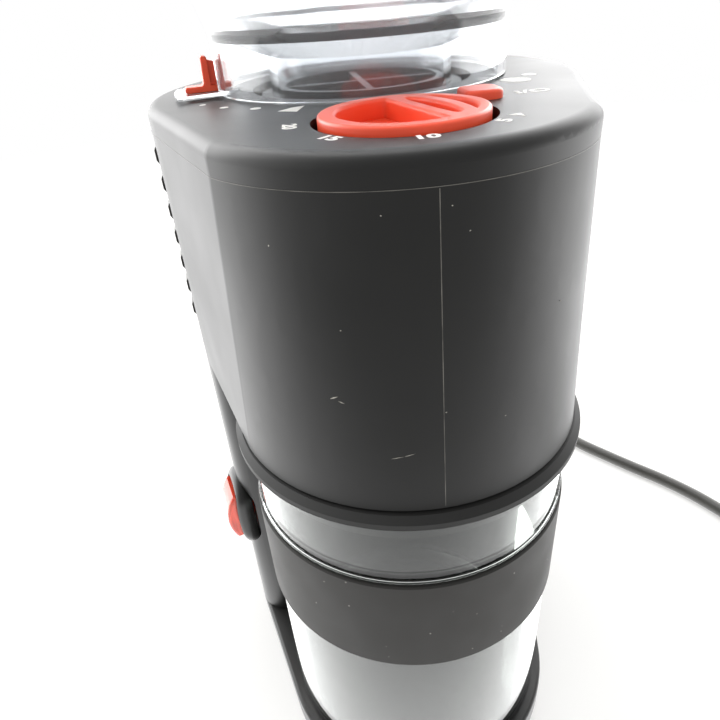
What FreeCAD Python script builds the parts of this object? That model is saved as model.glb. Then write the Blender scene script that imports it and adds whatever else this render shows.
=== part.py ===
import FreeCAD, Part
import math
import os
import Sketcher

# An electric coffee grinder: a glass jar stands on a low plinth, in the bay of a column
# that carries the grinding head, and a clear bean hopper sits on the head's rear half.
# Up is +Z, the front is -Y, and millimetres are used throughout. The origin is the middle
# of the plinth's outline, on the surface that the grinder stands on.

Vec = FreeCAD.Vector
doc = FreeCAD.newDocument("coffee_grinder")

# Driving sizes, one row each: name, size, what it is.
SIZES = [
    ("body_r", 61.0, "radius of the round back of plinth, column and head"),
    ("burr_gap", 49.0, "from the jar's axis back to the burrs' axis"),
    ("wall", 2.5, "wall of the mouldings"),
    ("fit", 0.1, "gap round a piece that is fixed in another"),
    ("slack", 0.3, "gap round a piece that moves in another"),
    ("shaft_fit", 0.05, "radial gap of a shaft in its hole"),
    ("plinth_lip", 3.3, "how far the plinth's front stands out past the jar"),
    ("foot_high", 1.5, "how far the feet lift the plinth"),
    ("base_high", 9.0, "height of the plinth's side"),
    ("base_plate", 3.0, "thickness of the plinth's top"),
    ("base_round", 1.2, "rounding of the plinth's top edge"),
    ("cover_plate", 2.0, "thickness of the bottom cover"),
    ("foot_r", 6.5, "radius of a rubber foot"),
    ("stem_r", 2.5, "radius of a foot's stem"),
    ("vent_long", 30.0, "length of a vent in the bottom cover"),
    ("vent_wide", 2.5, "width of a vent"),
    ("vent_pitch", 6.0, "from one vent to the next"),
    ("bay_room", 1.9, "gap between the jar's lid and its bay in the column"),
    ("horn_r", 9.0, "rounding of the column's front corners"),
    ("bay_high", 122.5, "from the plinth up to the head"),
    ("head_high", 71.3, "from the head's lower edge to the parting line"),
    ("head_back", 1.7, "how far the head's front lies inside the jar's lid"),
    ("front_low", 0.7, "how far the front's centre lies behind the jar's axis, at the head's foot"),
    ("front_high", 6.3, "the same at the parting line"),
    ("crease_angle_low", 20.0, "angle at which the head's side leaves its front, at the foot"),
    ("crease_angle_high", 31.0, "the same at the parting line"),
    ("crease_r", 6.0, "rounding of that crease"),
    ("cap_high", 6.5, "height of the top cover above the parting line"),
    ("cap_round", 3.0, "rounding of the top cover's edge"),
    ("lip_high", 3.0, "how deep the top cover's lip reaches into the shells"),
    ("lip_thick", 1.5, "thickness of that lip"),
    ("under_plate", 3.0, "thickness of the plate under the head"),
    ("boss_r", 4.0, "radius of a screw boss"),
    ("boss_high", 30.0, "height of a screw boss"),
    ("screw_r", 1.4, "radius of a screw's shank"),
    ("screw_long", 14.0, "length of a screw's shank"),
    ("screw_head_r", 3.2, "radius of a screw's head"),
    ("screw_head", 2.2, "height of a screw's head"),
    ("grip_angle_half", 100.0, "half of the angle that the rear grip goes round"),
    ("grip_sunk", 1.1, "depth of the grip's recess"),
    ("rib_high", 0.6, "how far a grip rib stands out"),
    ("rib_pitch", 8.0, "from one grip rib to the next"),
    ("rib_wide", 5.0, "height of one grip rib"),
    ("rib_flank", 1.0, "height of a grip rib's slanted side"),
    ("grip_drop", 4.0, "from the parting line down to the grip"),
    ("jar_r", 45.7, "outer radius of the glass jar"),
    ("jar_wall", 2.2, "thickness of the glass"),
    ("jar_floor", 3.5, "thickness of the jar's floor"),
    ("jar_high", 118.0, "height of the glass"),
    ("band_thick", 1.2, "thickness of the silicone band"),
    ("band_drop", 22.8, "from the jar's rim down to the band"),
    ("band_high", 33.7, "height of the band"),
    ("lid_reach", 3.4, "how far the jar's lid stands out past the glass"),
    ("lid_high", 3.8, "height of the lid above the rim"),
    ("lid_hole_r", 20.0, "radius of the hole that the grounds drop through"),
    ("plug_deep", 7.0, "how deep the lid reaches into the jar"),
    ("lid_web", 1.8, "thickness of the lid's plug"),
    ("spout_r", 9.5, "radius of the outlet over the jar"),
    ("dial_r", 18.0, "radius of the timer dial"),
    ("dial_y", -12.0, "from the jar's axis to the dial's axis"),
    ("dial_proud", 1.6, "how far the dial stands above the cover"),
    ("dial_gap", 1.4, "gap round the dial"),
    ("dial_wall", 2.3, "thickness of the dial's rim"),
    ("dial_deep", 8.0, "height of the dial"),
    ("dial_floor", 1.8, "thickness of the dial's floor"),
    ("dial_angle", 15.0, "angle of the grip bar away from straight ahead"),
    ("timer_shaft_r", 3.0, "radius of the timer's shaft"),
    ("button_x", 20.3, "place of the start button beside the middle"),
    ("button_y", 1.3, "place of the start button behind the jar's axis"),
    ("button_wide", 9.4, "width of the start button"),
    ("button_long", 9.6, "depth of the start button"),
    ("button_round", 3.6, "rounding of the start button's right corners"),
    ("button_proud", 2.5, "how far the start button stands out"),
    ("button_travel", 2.0, "how far the start button goes down"),
    ("board_drop", 20.0, "from the cover's top down to the control board"),
    ("board_thick", 1.6, "thickness of the control board"),
    ("board_long", 50.0, "length of the control board"),
    ("board_wide", 36.0, "width of the control board"),
    ("relay_long", 14.0, "length of the relay"),
    ("relay_wide", 10.0, "width of the relay"),
    ("relay_high", 9.0, "height of the relay"),
    ("capacitor_r", 4.0, "radius of the capacitor"),
    ("capacitor_high", 8.0, "height of the capacitor"),
    ("timer_r", 8.5, "radius of the timer's body"),
    ("timer_drop", 2.0, "gap between the timer's body and the dial's well"),
    ("micro_long", 11.0, "length of the micro switch"),
    ("micro_wide", 6.0, "width of the micro switch"),
    ("micro_high", 3.6, "height of the micro switch"),
    ("micro_pin", 0.6, "how far the micro switch's plunger stands up"),
    ("switch_turn", 194.0, "direction of the power switch round the burrs' axis"),
    ("switch_up", 65.6, "height of the power switch"),
    ("bezel_wide", 20.0, "width of the switch's bezel"),
    ("bezel_tall", 33.5, "height of the switch's bezel"),
    ("bezel_proud", 4.0, "how far the bezel stands out"),
    ("bezel_round", 1.6, "rounding of the bezel's face"),
    ("bezel_deep", 1.0, "how deep the bezel reaches behind the shell's wall"),
    ("window_round", 2.0, "rounding of the bezel's window"),
    ("window_room", 1.6, "gap above and below the rocker"),
    ("rocker_wide", 13.5, "width of the rocker"),
    ("rocker_tall", 20.0, "height of the rocker"),
    ("rocker_proud", 7.0, "how far the rocker's crown stands out"),
    ("rocker_arch", 2.8, "height of the rocker's arch"),
    ("rocker_round", 1.2, "rounding of the rocker's edges"),
    ("rocker_seat", 1.8, "from the switch's frame out to the rocker"),
    ("rocker_pin", 1.2, "radius of the rocker's pivot pins"),
    ("rocker_tilt", 5.0, "tilt of the rocker to each side"),
    ("switch_wide", 12.0, "width of the switch behind the bezel"),
    ("switch_tall", 22.0, "height of the switch"),
    ("switch_deep", 10.5, "depth of the switch"),
    ("blade_long", 7.0, "length of a switch's blade"),
    ("blade_wide", 6.3, "width of a blade"),
    ("blade_thick", 0.8, "thickness of a blade"),
    ("frame_wide", 17.5, "width of the switch's frame"),
    ("frame_tall", 25.0, "height of the switch's frame"),
    ("frame_thick", 1.3, "thickness of the switch's frame"),
    ("skirt_r", 41.0, "radius of the hopper's skirt"),
    ("skirt_high", 14.6, "height of the skirt"),
    ("skirt_gap", 0.6, "from the cover up to the skirt"),
    ("hopper_wall", 2.0, "thickness of the hopper's wall"),
    ("hopper_r", 53.5, "radius of the hopper's rim"),
    ("hopper_high", 40.0, "height of the bowl above the skirt"),
    ("neck_deep", 11.0, "how far the neck reaches below the cover's top"),
    ("guard_high", 3.0, "height of the finger guard"),
    ("guard_wall", 2.0, "thickness of the finger guard's ring"),
    ("guard_bar", 2.0, "width of the finger guard's bars"),
    ("tab_r", 53.0, "reach of the hopper's clear tab"),
    ("tab_angle_half", 10.0, "half of the tab's angle"),
    ("pointer_turn", 186.0, "direction of the red pointer"),
    ("hopper_lid_high", 9.0, "height of the hopper's lid"),
    ("module", 0.8, "module of the gears"),
    ("main_teeth", 48, "teeth of the main gear"),
    ("small_teeth", 12, "teeth of the idler's pinion"),
    ("idler_teeth", 45, "teeth of the idler's wheel"),
    ("pinion_teeth", 10, "teeth of the motor's pinion"),
    ("motor_room", 1.5, "gap between the motor and the column's back"),
    ("backlash", 0.12, "play between the teeth"),
    ("gear_gap", 3.5, "from a gear's pitch circle out to the gearbox's wall"),
    ("pin_r", 2.5, "radius of the idler's pin"),
    ("motor_r", 23.0, "radius of the motor"),
    ("motor_high", 80.0, "height of the motor"),
    ("motor_shaft_r", 2.5, "radius of the motor's shaft"),
    ("burr_shaft_r", 4.0, "radius of the burrs' shaft"),
    ("deck", 3.0, "thickness of the gearbox's floor and lid"),
    ("gear_room", 17.0, "height inside the gearbox"),
    ("collar_step", 5.0, "from the hopper's neck out to the burr chamber's outside"),
    ("chamber_high", 37.0, "height of the burr chamber"),
    ("cone_r", 18.5, "largest radius of the cone burr"),
    ("cone_high", 16.0, "height of the cone burr"),
    ("ring_wall", 5.0, "thickness of the ring burr at its foot"),
    ("holder_wall", 4.2, "thickness of the holder round the ring burr"),
    ("ring_high", 14.0, "height of the ring burr"),
    ("grind_gap", 0.5, "gap between the burrs"),
    ("cord_r", 2.9, "radius of the mains lead"),
    ("relief_neck", 3.5, "radius of the strain relief's neck in the plinth's wall"),
    ("relief_long", 26.0, "length of the strain relief outside the plinth"),
    ("relief_flange", 0.5, "height of the strain relief's step behind the wall"),
    ("relief_deep", 6.0, "how deep the strain relief reaches into the plinth"),
    ("relief_ring", 6.4, "from one groove of the strain relief to the next"),
    ("relief_groove", 0.6, "depth of a groove of the strain relief"),
    ("relief_turn", 60.0, "direction in which the lead leaves the plinth"),
    ("coil_r", 32.0, "mean radius of the put away coil"),
    ("coil_x", 212.0, "place of the coil"),
    ("coil_y", -8.0, "place of the coil"),
    ("coil_step", 6.4, "from one turn of the coil to the next"),
    ("coil_lift", 0.8, "thickness of the tie under the coil"),
    ("plug_long", 34.0, "length of the plug's body"),
    ("pin_long", 19.0, "length of a plug pin"),
    ("pin_gap", 18.6, "from one plug pin to the other"),
]

# Places that follow from the sizes.
PLACES = [
    ("base_front_r", "jar_r + plinth_lip"),
    ("lid_r", "jar_r + lid_reach"),
    ("bay_r", "lid_r + bay_room"),
    ("head_front_r", "lid_r - head_back"),
    ("ring_r", "cone_r + grind_gap + ring_wall"),
    ("chamber_r", "ring_r + holder_wall + slack + wall"),
    ("neck_r", "chamber_r - collar_step"),
    ("motor_gap", "body_r - wall - motor_r - motor_room"),
    ("jar_y", "-(burr_gap + body_r - base_front_r) / 2"),
    ("burr_y", "jar_y + burr_gap"),
    ("base_top", "foot_high + base_high"),
    ("head_z", "base_top + bay_high"),
    ("part_z", "head_z + head_high"),
    ("top_z", "part_z + cap_high"),
    ("jar_top", "base_top + jar_high"),
    ("under_top", "head_z + under_plate"),
    ("dial_at", "jar_y + dial_y"),
    ("dial_top", "top_z + dial_proud"),
    ("well_z", "dial_top - dial_deep - 1.5"),
    ("button_at", "jar_y + button_y"),
    ("board_z", "top_z - board_drop"),
    ("board_top", "board_z + board_thick"),
    ("switch_r", "body_r - wall - bezel_deep"),
    ("main_r", "module * main_teeth / 2"),
    ("small_r", "module * small_teeth / 2"),
    ("idler_r", "module * idler_teeth / 2"),
    ("pinion_r", "module * pinion_teeth / 2"),
    ("low_gear_z", "under_top + deck + 2.5"),
    ("high_gear_z", "low_gear_z + 6.5"),
    ("room_top", "under_top + deck + gear_room"),
    ("chamber_z", "room_top + deck"),
    ("chamber_floor", "chamber_z + wall"),
    ("carrier_z", "chamber_floor + 1.5"),
    ("cone_z", "carrier_z + 9"),
    ("chamber_top", "chamber_z + chamber_high"),
    ("collar_z", "chamber_top + slack"),
    ("neck_z", "top_z - neck_deep"),
    ("skirt_z", "top_z + skirt_gap"),
    ("ledge_z", "skirt_z + skirt_high"),
    ("rim_z", "ledge_z + hopper_high"),
    ("lead_z", "foot_high + relief_neck + 0.6"),
]

sizes = doc.addObject("Spreadsheet::Sheet", "Sizes")
for row, (alias, number, note) in enumerate(SIZES, 1):
    sizes.set("A%d" % row, note)
    sizes.set("B%d" % row, str(number))
    sizes.setAlias("B%d" % row, alias)
doc.recompute()

SIZE_NAMES = {alias for alias, number, note in SIZES}
PLACE_NAMES = {alias for alias, rule in PLACES}


def rule_text(rule):
    """Writes a rule of plain names as an expression on the two sheets."""
    words = []
    word = ""
    for letter in str(rule) + " ":
        if letter.isalnum() or letter == "_":
            word += letter
            continue
        if word in SIZE_NAMES:
            word = "Sizes." + word
        elif word in PLACE_NAMES:
            word = "Places." + word
        words.append(word + letter)
        word = ""
    return "".join(words).strip()


places = doc.addObject("Spreadsheet::Sheet", "Places")
for row, (alias, rule) in enumerate(PLACES, 1):
    places.set("A%d" % row, alias)
    places.setAlias("B%d" % row, alias)
    places.set("B%d" % row, "=" + rule_text(rule).replace("Places.", ""))
doc.recompute()


def val(rule):
    """The number that a rule gives with the sheets as they are."""
    return float(sizes.evalExpression(rule_text(rule).replace("Sizes.", "")))


NODES = []


def node(obj, label):
    """Makes an object one of the grinder's pieces."""
    obj.Label = label
    NODES.append(obj)
    return obj


def bind(obj, **rules):
    """Binds properties to rules: radius is Radius, x, y and z are the place."""
    for name, rule in rules.items():
        if name in ("x", "y", "z"):
            name = "Placement.Base." + name
        obj.setExpression(name, rule_text(rule))
    return obj


def cylinder(radius, height, x="0", y="0", z="0"):
    obj = doc.addObject("Part::Cylinder", "Cylinder")
    return bind(obj, Radius=radius, Height=height, x=x, y=y, z=z)


def block(length, width, height, x, y, z):
    """A box whose x and y are its middle and whose z is its foot."""
    obj = doc.addObject("Part::Box", "Block")
    bind(obj, Length=length, Width=width, Height=height)
    return bind(obj, x="%s - (%s) / 2" % (x, length), y="%s - (%s) / 2" % (y, width), z=z)


def fuse(*parts):
    obj = doc.addObject("Part::MultiFuse", "Joined")
    obj.Shapes = list(parts)
    return obj


def cut(base, *tools):
    obj = doc.addObject("Part::Cut", "Cut")
    obj.Base = base
    obj.Tool = tools[0] if len(tools) == 1 else fuse(*tools)
    return obj


def group(*parts):
    """Alike pieces that share one node and stay separate solids."""
    obj = doc.addObject("Part::Compound", "Group")
    obj.Links = list(parts)
    return obj


def shaped(shape):
    """A piece whose form the other features can't give."""
    obj = doc.addObject("Part::Feature", "Shaped")
    obj.Shape = shape
    return obj


def new_body(x="0", y="0", z="0"):
    return bind(doc.addObject("PartDesign::Body", "Body"), x=x, y=y, z=z)


def new_sketch(body, plane):
    sketch = body.newObject("Sketcher::SketchObject", "Sketch")
    base = [f for f in body.Origin.OriginFeatures if f.Role == plane][0]
    sketch.AttachmentSupport = [(base, "")]
    sketch.MapMode = "FlatFace"
    return sketch


def pin_point(sketch, line, end, x, y):
    """Ties a point of a sketch to two rules."""
    for kind, axis, rule in (("DistanceX", -2, x), ("DistanceY", -1, y)):
        if rule == "0":
            sketch.addConstraint(Sketcher.Constraint("PointOnObject", line, end, axis))
            continue
        limit = Sketcher.Constraint(kind, -1, 1, line, end, val(rule))
        number = sketch.addConstraint(limit)
        sketch.setExpression("Constraints[%d]" % number, rule_text(rule))


def draw(sketch, corners):
    """A closed outline of straight lines through corners that are rules."""
    first = sketch.GeometryCount
    spots = [Vec(val(x), val(y), 0) for x, y in corners]
    for here, there in zip(spots, spots[1:] + spots[:1]):
        sketch.addGeometry(Part.LineSegment(here, there), False)
    count = len(corners)
    for i in range(count):
        after = first + (i + 1) % count
        sketch.addConstraint(Sketcher.Constraint("Coincident", first + i, 2, after, 1))
    for i, (x, y) in enumerate(corners):
        pin_point(sketch, first + i, 1, x, y)


def draw_egg(sketch, inset="0"):
    """The plinth's outline: a small arc in front, the round back and their tangents."""
    small = "base_front_r - (%s)" % inset
    large = "body_r - (%s)" % inset
    lean = math.asin((val(large) - val(small)) / val("burr_gap"))
    front, rear = Vec(0, val("jar_y"), 0), Vec(0, val("burr_y"), 0)
    side = Vec(math.cos(lean), -math.sin(lean), 0)
    mirror = Vec(-side.x, side.y, 0)
    ends = [front + mirror * val(small), front + side * val(small)]
    ends += [rear + side * val(large), rear + mirror * val(large)]
    down = front - Vec(0, val(small), 0)
    up = rear + Vec(0, val(large), 0)
    sketch.addGeometry(Part.Arc(ends[0], down, ends[1]), False)
    sketch.addGeometry(Part.LineSegment(ends[1], ends[2]), False)
    sketch.addGeometry(Part.Arc(ends[2], up, ends[3]), False)
    sketch.addGeometry(Part.LineSegment(ends[3], ends[0]), False)
    for a, end_a, b, end_b in ((0, 2, 1, 1), (1, 2, 2, 1), (2, 2, 3, 1), (3, 2, 0, 1)):
        sketch.addConstraint(Sketcher.Constraint("Tangent", a, end_a, b, end_b))
    for line, radius, y in ((0, small, "jar_y"), (2, large, "burr_y")):
        number = sketch.addConstraint(Sketcher.Constraint("Radius", line, val(radius)))
        sketch.setExpression("Constraints[%d]" % number, rule_text(radius))
        pin_point(sketch, line, 3, "0", y)


def pad(body, sketch, length):
    feature = body.newObject("PartDesign::Pad", "Pad")
    feature.Profile = sketch
    return bind(feature, Length=length)


def pocket(body, sketch, length, reverse=True):
    feature = body.newObject("PartDesign::Pocket", "Pocket")
    feature.Profile = sketch
    feature.Reversed = reverse
    return bind(feature, Length=length)


def spin(body, sketch, angle="360"):
    feature = body.newObject("PartDesign::Revolution", "Revolution")
    feature.Profile = sketch
    feature.ReferenceAxis = (sketch, ["V_Axis"])
    feature.Midplane = True
    return bind(feature, Angle=angle)


def turned(corners, x="0", y="0", z="0", angle="360"):
    """A turned body: corners are radius and height above its foot."""
    body = new_body(x, y, z) if x is not None else doc.addObject("PartDesign::Body", "Body")
    sketch = new_sketch(body, "XZ_Plane")
    draw(sketch, corners)
    spin(body, sketch, angle)
    return body


def round_edges(body, feature, radius, wanted):
    """Rounds the edges of a body's feature that the test picks."""
    doc.recompute()
    edges = feature.Shape.Edges
    names = ["Edge%d" % (i + 1) for i, edge in enumerate(edges) if wanted(edge)]
    fillet = body.newObject("PartDesign::Fillet", "Fillet")
    fillet.Base = (feature, names)
    return bind(fillet, Radius=radius)


def lies_at(edge, height):
    """True for an edge that lies level at a height."""
    box = edge.BoundBox
    return abs(box.ZMin - height) < 1e-4 and abs(box.ZMax - height) < 1e-4


def at(angle, radius, x=0.0, y=0.0, z=0.0):
    turn = math.radians(angle)
    return Vec(x + radius * math.cos(turn), y + radius * math.sin(turn), z)


JAR = ("0", "jar_y")
BURR = ("0", "burr_y")

# Plinth: a shallow tray turned over, with the jar's place in front.
base_body = new_body(z="foot_high")
base_sketch = new_sketch(base_body, "XY_Plane")
draw_egg(base_sketch)
base_pad = pad(base_body, base_sketch, "base_high")
hollow_sketch = new_sketch(base_body, "XY_Plane")
draw_egg(hollow_sketch, "wall")
base_hollow = pocket(base_body, hollow_sketch, "base_high - base_plate")
base_top = val("base_high")
round_edges(
    base_body, base_hollow, "base_round",
    lambda edge: lies_at(edge, base_top),
)

# Screw bosses stand in the column's front corners and against its back wall.
jar_to_horn = val("bay_r") + val("horn_r")
burr_to_horn = val("body_r") - val("horn_r")
gap = val("burr_gap")
horn_back = (jar_to_horn ** 2 - burr_to_horn ** 2 + gap ** 2) / (2 * gap)
horn_x = math.sqrt(jar_to_horn ** 2 - horn_back ** 2)
horn = Vec(horn_x, val("jar_y") + horn_back, 0)
boss_back = at(52, val("body_r - wall - fit - screw_head_r"), y=val("burr_y"))
boss_front = horn + Vec(-1.5, 1.5, 0)
BOSSES = [Vec(side * p.x, p.y, 0) for p in (boss_front, boss_back) for side in (-1, 1)]


def posts(radius, low, high, shift=0.0):
    """Round posts on the four screw places."""
    tall = val(high) - val(low)
    made = [Part.makeCylinder(val(radius) + shift, tall, p + Vec(0, 0, val(low))) for p in BOSSES]
    return made


lead_way = Vec(math.cos(math.radians(val("relief_turn"))), math.sin(math.radians(val("relief_turn"))), 0)
lead_root = Vec(0, val("burr_y"), val("lead_z")) + lead_way * val("body_r")
lead_hole = Part.makeCylinder(val("relief_neck + fit"), 20, lead_root - lead_way * 12, lead_way)
lead_room = Part.makeCylinder(val("relief_neck + 1"), 12, lead_root - lead_way * 12, lead_way)
lead_seat = Part.makeCylinder(
    val("relief_neck + relief_flange + fit"), 12 - val("wall + fit"), lead_root - lead_way * 12, lead_way)
base_tools = posts("screw_r", "0", "base_top", 0.6) + [lead_hole, lead_seat]
node(cut(base_body, shaped(Part.makeCompound(base_tools))), "base")

# Bottom cover: a plate let into the plinth from below, with holes for the feet's stems.
foot_spots = [at(a, val(r) - 14, y=val(y)) for a, r, y in (
    (215, "base_front_r", "jar_y"), (325, "base_front_r", "jar_y"),
    (40, "body_r", "burr_y"), (140, "body_r", "burr_y"))]
cover_body = new_body(z="foot_high")
cover_sketch = new_sketch(cover_body, "XY_Plane")
draw_egg(cover_sketch, "wall + fit")
pad(cover_body, cover_sketch, "cover_plate")
stem_holes = [Part.makeCylinder(val("stem_r + shaft_fit"), 20, p) for p in foot_spots]
stem_holes.append(lead_room)
vents = []
for row in range(-2, 3):
    vent_y = "burr_y + motor_gap + %d * vent_pitch" % row
    vents.append(block("vent_long", "vent_wide", "2 * base_high", "0", vent_y, "0"))
node(cut(cover_body, shaped(Part.makeCompound(stem_holes)), *vents), "bottom_cover")

feet = []
for spot in foot_spots:
    disc = cylinder("foot_r", "foot_high", str(spot.x), str(spot.y))
    stem = cylinder("stem_r", "foot_high + cover_plate + 1", str(spot.x), str(spot.y))
    feet.append(fuse(disc, stem))
node(group(*feet), "rubber_feet")


def head_wire(height, front_shift, crease, inset):
    """The head's outline at a height: round front, soft crease, straight side, round back."""
    front = Vec(0, val("jar_y") + val(front_shift), height)
    rear = Vec(0, val("burr_y"), height)
    front_r = val("head_front_r") - inset
    rear_r = val("body_r") - inset
    soft = val("crease_r") - inset
    leave = at(-val(crease), front_r, z=height) + Vec(0, front.y, 0)
    gap = rear - leave
    reach = gap.Length
    turn = math.atan2(gap.y, gap.x) - math.asin(rear_r / reach)
    along = Vec(math.cos(turn), math.sin(turn), 0)
    inward = Vec(-along.y, along.x, 0)
    meet = rear - inward * rear_r
    # The soft corner's centre lies at its radius from the side and inside the front arc.
    line_at = leave + inward * soft - front
    half = line_at.dot(along)
    rest = line_at.dot(line_at) - (front_r - soft) ** 2
    step = -half - math.sqrt(max(half * half - rest, 0.0))
    centre = leave + inward * soft + along * step
    on_side = centre - inward * soft
    outward = centre - front
    outward.normalize()
    on_front = front + outward * front_r
    middle = outward - inward
    middle.normalize()
    corner = centre + middle * soft

    def flip(p):
        return Vec(-p.x, p.y, p.z)

    edges = [
        Part.Arc(flip(on_front), front - Vec(0, front_r, 0), on_front),
        Part.Arc(on_front, corner, on_side),
        Part.LineSegment(on_side, meet),
        Part.Arc(meet, rear + Vec(0, rear_r, 0), flip(meet)),
        Part.LineSegment(flip(meet), flip(on_side)),
        Part.Arc(flip(on_side), flip(corner), flip(on_front)),
    ]
    return Part.Wire([edge.toShape() for edge in edges])


def head_solid(inset):
    """The head as a solid between its lower edge and the parting line."""
    low = head_wire(val("head_z"), "front_low", "crease_angle_low", inset)
    high = head_wire(val("part_z"), "front_high", "crease_angle_high", inset)
    return Part.makeLoft([low, high], True, True)


def column_wire(height, inset):
    """The column's outline: round back, rounded front corners and the jar's bay."""
    jar = Vec(0, val("jar_y"), 0)
    burr = Vec(0, val("burr_y"), 0)
    to_back = (horn - burr).normalize()
    to_jar = (jar - horn).normalize()
    round_r = val("horn_r") - inset
    back = burr + to_back * (val("body_r") - inset)
    bay = jar - to_jar * (val("bay_r") + inset)
    nose = horn + (to_back + to_jar).normalize() * round_r

    def flip(p):
        return Vec(-p.x, p.y, 0)

    edges = [
        Part.Arc(back, burr + Vec(0, val("body_r") - inset, 0), flip(back)),
        Part.Arc(flip(back), flip(nose), flip(bay)),
        Part.Arc(flip(bay), jar + Vec(0, val("bay_r") + inset, 0), bay),
        Part.Arc(bay, nose, back),
    ]
    wire = Part.Wire([edge.toShape() for edge in edges])
    wire.translate(Vec(0, 0, height))
    return wire


def column_solid(low, high, inset):
    face = Part.Face(column_wire(low, inset))
    return face.extrude(Vec(0, 0, high - low))


# The switch's own frame: its foot on the burrs' axis, z outwards, y up.
out = at(val("switch_turn"), 1.0)
switch_frame = FreeCAD.Placement(
    Vec(0, val("burr_y"), val("switch_up")),
    FreeCAD.Rotation(Vec(-out.y, out.x, 0), Vec(0, 0, 1), out, "ZXY"),
)


def oval(wide, tall, low, high, radius=None):
    """An upright oval block in the switch's frame."""
    end = min(wide, tall) / 2 if radius is None else radius
    plain = Part.makeBox(wide, tall, high - low, Vec(-wide / 2, -tall / 2, low))
    sides = [e for e in plain.Edges if e.BoundBox.ZLength > 1e-3]
    return plain.makeFillet(end * 0.999, sides)


# Two half shells make the column and the head. They meet on the middle plane.
skin = val("wall")
base_z, head_z, part_z = val("base_top"), val("head_z"), val("part_z")
head = head_solid(0.0).cut(head_solid(skin))
column = column_solid(base_z, head_z, 0.0).cut(column_solid(base_z, head_z, skin))
shell = head.fuse(column)
bosses = Part.makeCompound(posts("boss_r", "base_top", "base_top + boss_high"))
bosses = bosses.common(column_solid(base_z, head_z, skin / 2))
pilots = Part.makeCompound(posts("screw_r", "0", "base_top + screw_long", val("fit")))
shell = shell.fuse(bosses).cut(pilots)
grip_low = "part_z - grip_drop - 6 * rib_pitch - rib_wide"
grip_tall = "6 * rib_pitch + rib_wide"
ring = Part.makeCylinder(val("body_r") + 5, val(grip_tall), Vec(0, val("burr_y"), val(grip_low)))
ring = ring.cut(Part.makeCylinder(
    val("body_r - grip_sunk"), val(grip_tall), Vec(0, val("burr_y"), val(grip_low))))
wedge_end = at(90 - val("grip_angle_half"), 200)
wedge = Part.makePolygon([
    Vec(0, 0, 0), wedge_end, Vec(200, 300, 0), Vec(-200, 300, 0), Vec(-wedge_end.x, wedge_end.y, 0),
    Vec(0, 0, 0)])
wedge = Part.Face(wedge).extrude(Vec(0, 0, 300))
wedge.translate(Vec(0, val("burr_y"), 0))
hole = oval(
    val("bezel_wide + 2 * fit"), val("bezel_tall + 2 * fit"), val("switch_r - 3 * wall"),
    val("body_r + horn_r"))
hole.Placement = switch_frame
shell = shell.cut(ring.common(wedge)).cut(hole)
half_box = Part.makeBox(200, 400, 400, Vec(0, -200, -10))
node(shaped(shell.common(half_box)), "right_shell")
half_box.translate(Vec(-200, 0, 0))
node(shaped(shell.common(half_box)), "left_shell")

# Screws from under the plinth hold the column.
screws = []
for spot in BOSSES:
    x, y = str(spot.x), str(spot.y)
    low = "base_top - base_plate - screw_head"
    head = cylinder("screw_head_r", "screw_head", x, y, low)
    shank = cylinder("screw_r", "screw_long + screw_head", x, y, low)
    screws.append(fuse(head, shank))
node(group(*screws), "housing_screws")

# Rear grip: a rubber pad let into the shells, with level ribs.
grip_corners = [("body_r - grip_sunk + fit", "fit"), ("body_r", "fit")]
for rib in range(7):
    low = "%d * rib_pitch" % rib
    if rib:
        grip_corners.append(("body_r", low))
    grip_corners.append(("body_r + rib_high", low + " + rib_flank + fit"))
    grip_corners.append(("body_r + rib_high", low + " + rib_wide - rib_flank - fit"))
    grip_corners.append(("body_r", low + " + rib_wide - fit"))
grip_corners.append(("body_r - grip_sunk + fit", "6 * rib_pitch + rib_wide - fit"))
grip = turned(grip_corners, y="burr_y", z=grip_low, angle="2 * grip_angle_half - 0.4")
grip.Placement.Rotation = FreeCAD.Rotation(Vec(0, 0, 1), 90)
node(grip, "rear_grip")

# The plate under the head closes it over the jar, round the outlet.
plate_wire = head_wire(head_z, "front_low", "crease_angle_low", skin + val("fit"))
plate = Part.Face(plate_wire).extrude(Vec(0, 0, val("under_plate")))
jar_place = Vec(0, val("jar_y"), 0)
plate = plate.common(Part.makeCylinder(val("bay_r") + skin, 300, jar_place))
plate = plate.cut(Part.makeCylinder(val("spout_r"), 300, jar_place))
plate = plate.common(head_solid(skin + val("fit")))
node(shaped(plate), "head_underside")

# Top cover: a shallow lid over the head with the dial's well and the button's sleeve.
cap_wire = head_wire(part_z, "front_high", "crease_angle_high", 0.0)
cap = Part.Face(cap_wire).extrude(Vec(0, 0, val("cap_high")))
top_z = val("top_z")
rim_edges = [edge for edge in cap.Edges if lies_at(edge, top_z)]
cap = cap.makeFillet(val("cap_round"), rim_edges)
room = Part.Face(head_wire(part_z, "front_high", "crease_angle_high", skin + 0.6))
cap = cap.cut(room.extrude(Vec(0, 0, val("cap_high") - skin)))
lip_z = part_z - val("lip_high")
lip_out = Part.Face(head_wire(lip_z, "front_high", "crease_angle_high", skin + val("fit") + 0.2))
lip_in = Part.Face(
    head_wire(lip_z, "front_high", "crease_angle_high", skin + val("fit") + 0.2 + val("lip_thick")))
lip_tall = top_z - skin - lip_z
lip = lip_out.extrude(Vec(0, 0, lip_tall)).cut(lip_in.extrude(Vec(0, 0, lip_tall)))
dial_place = Vec(0, val("dial_at"), 0)
well_r = val("dial_r + dial_gap")
well_z = val("well_z")
well = Part.makeCylinder(well_r + 1.6, top_z - 1 - well_z, dial_place + Vec(0, 0, well_z))
button_place = Vec(val("button_x"), val("button_at"), 0)


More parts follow.
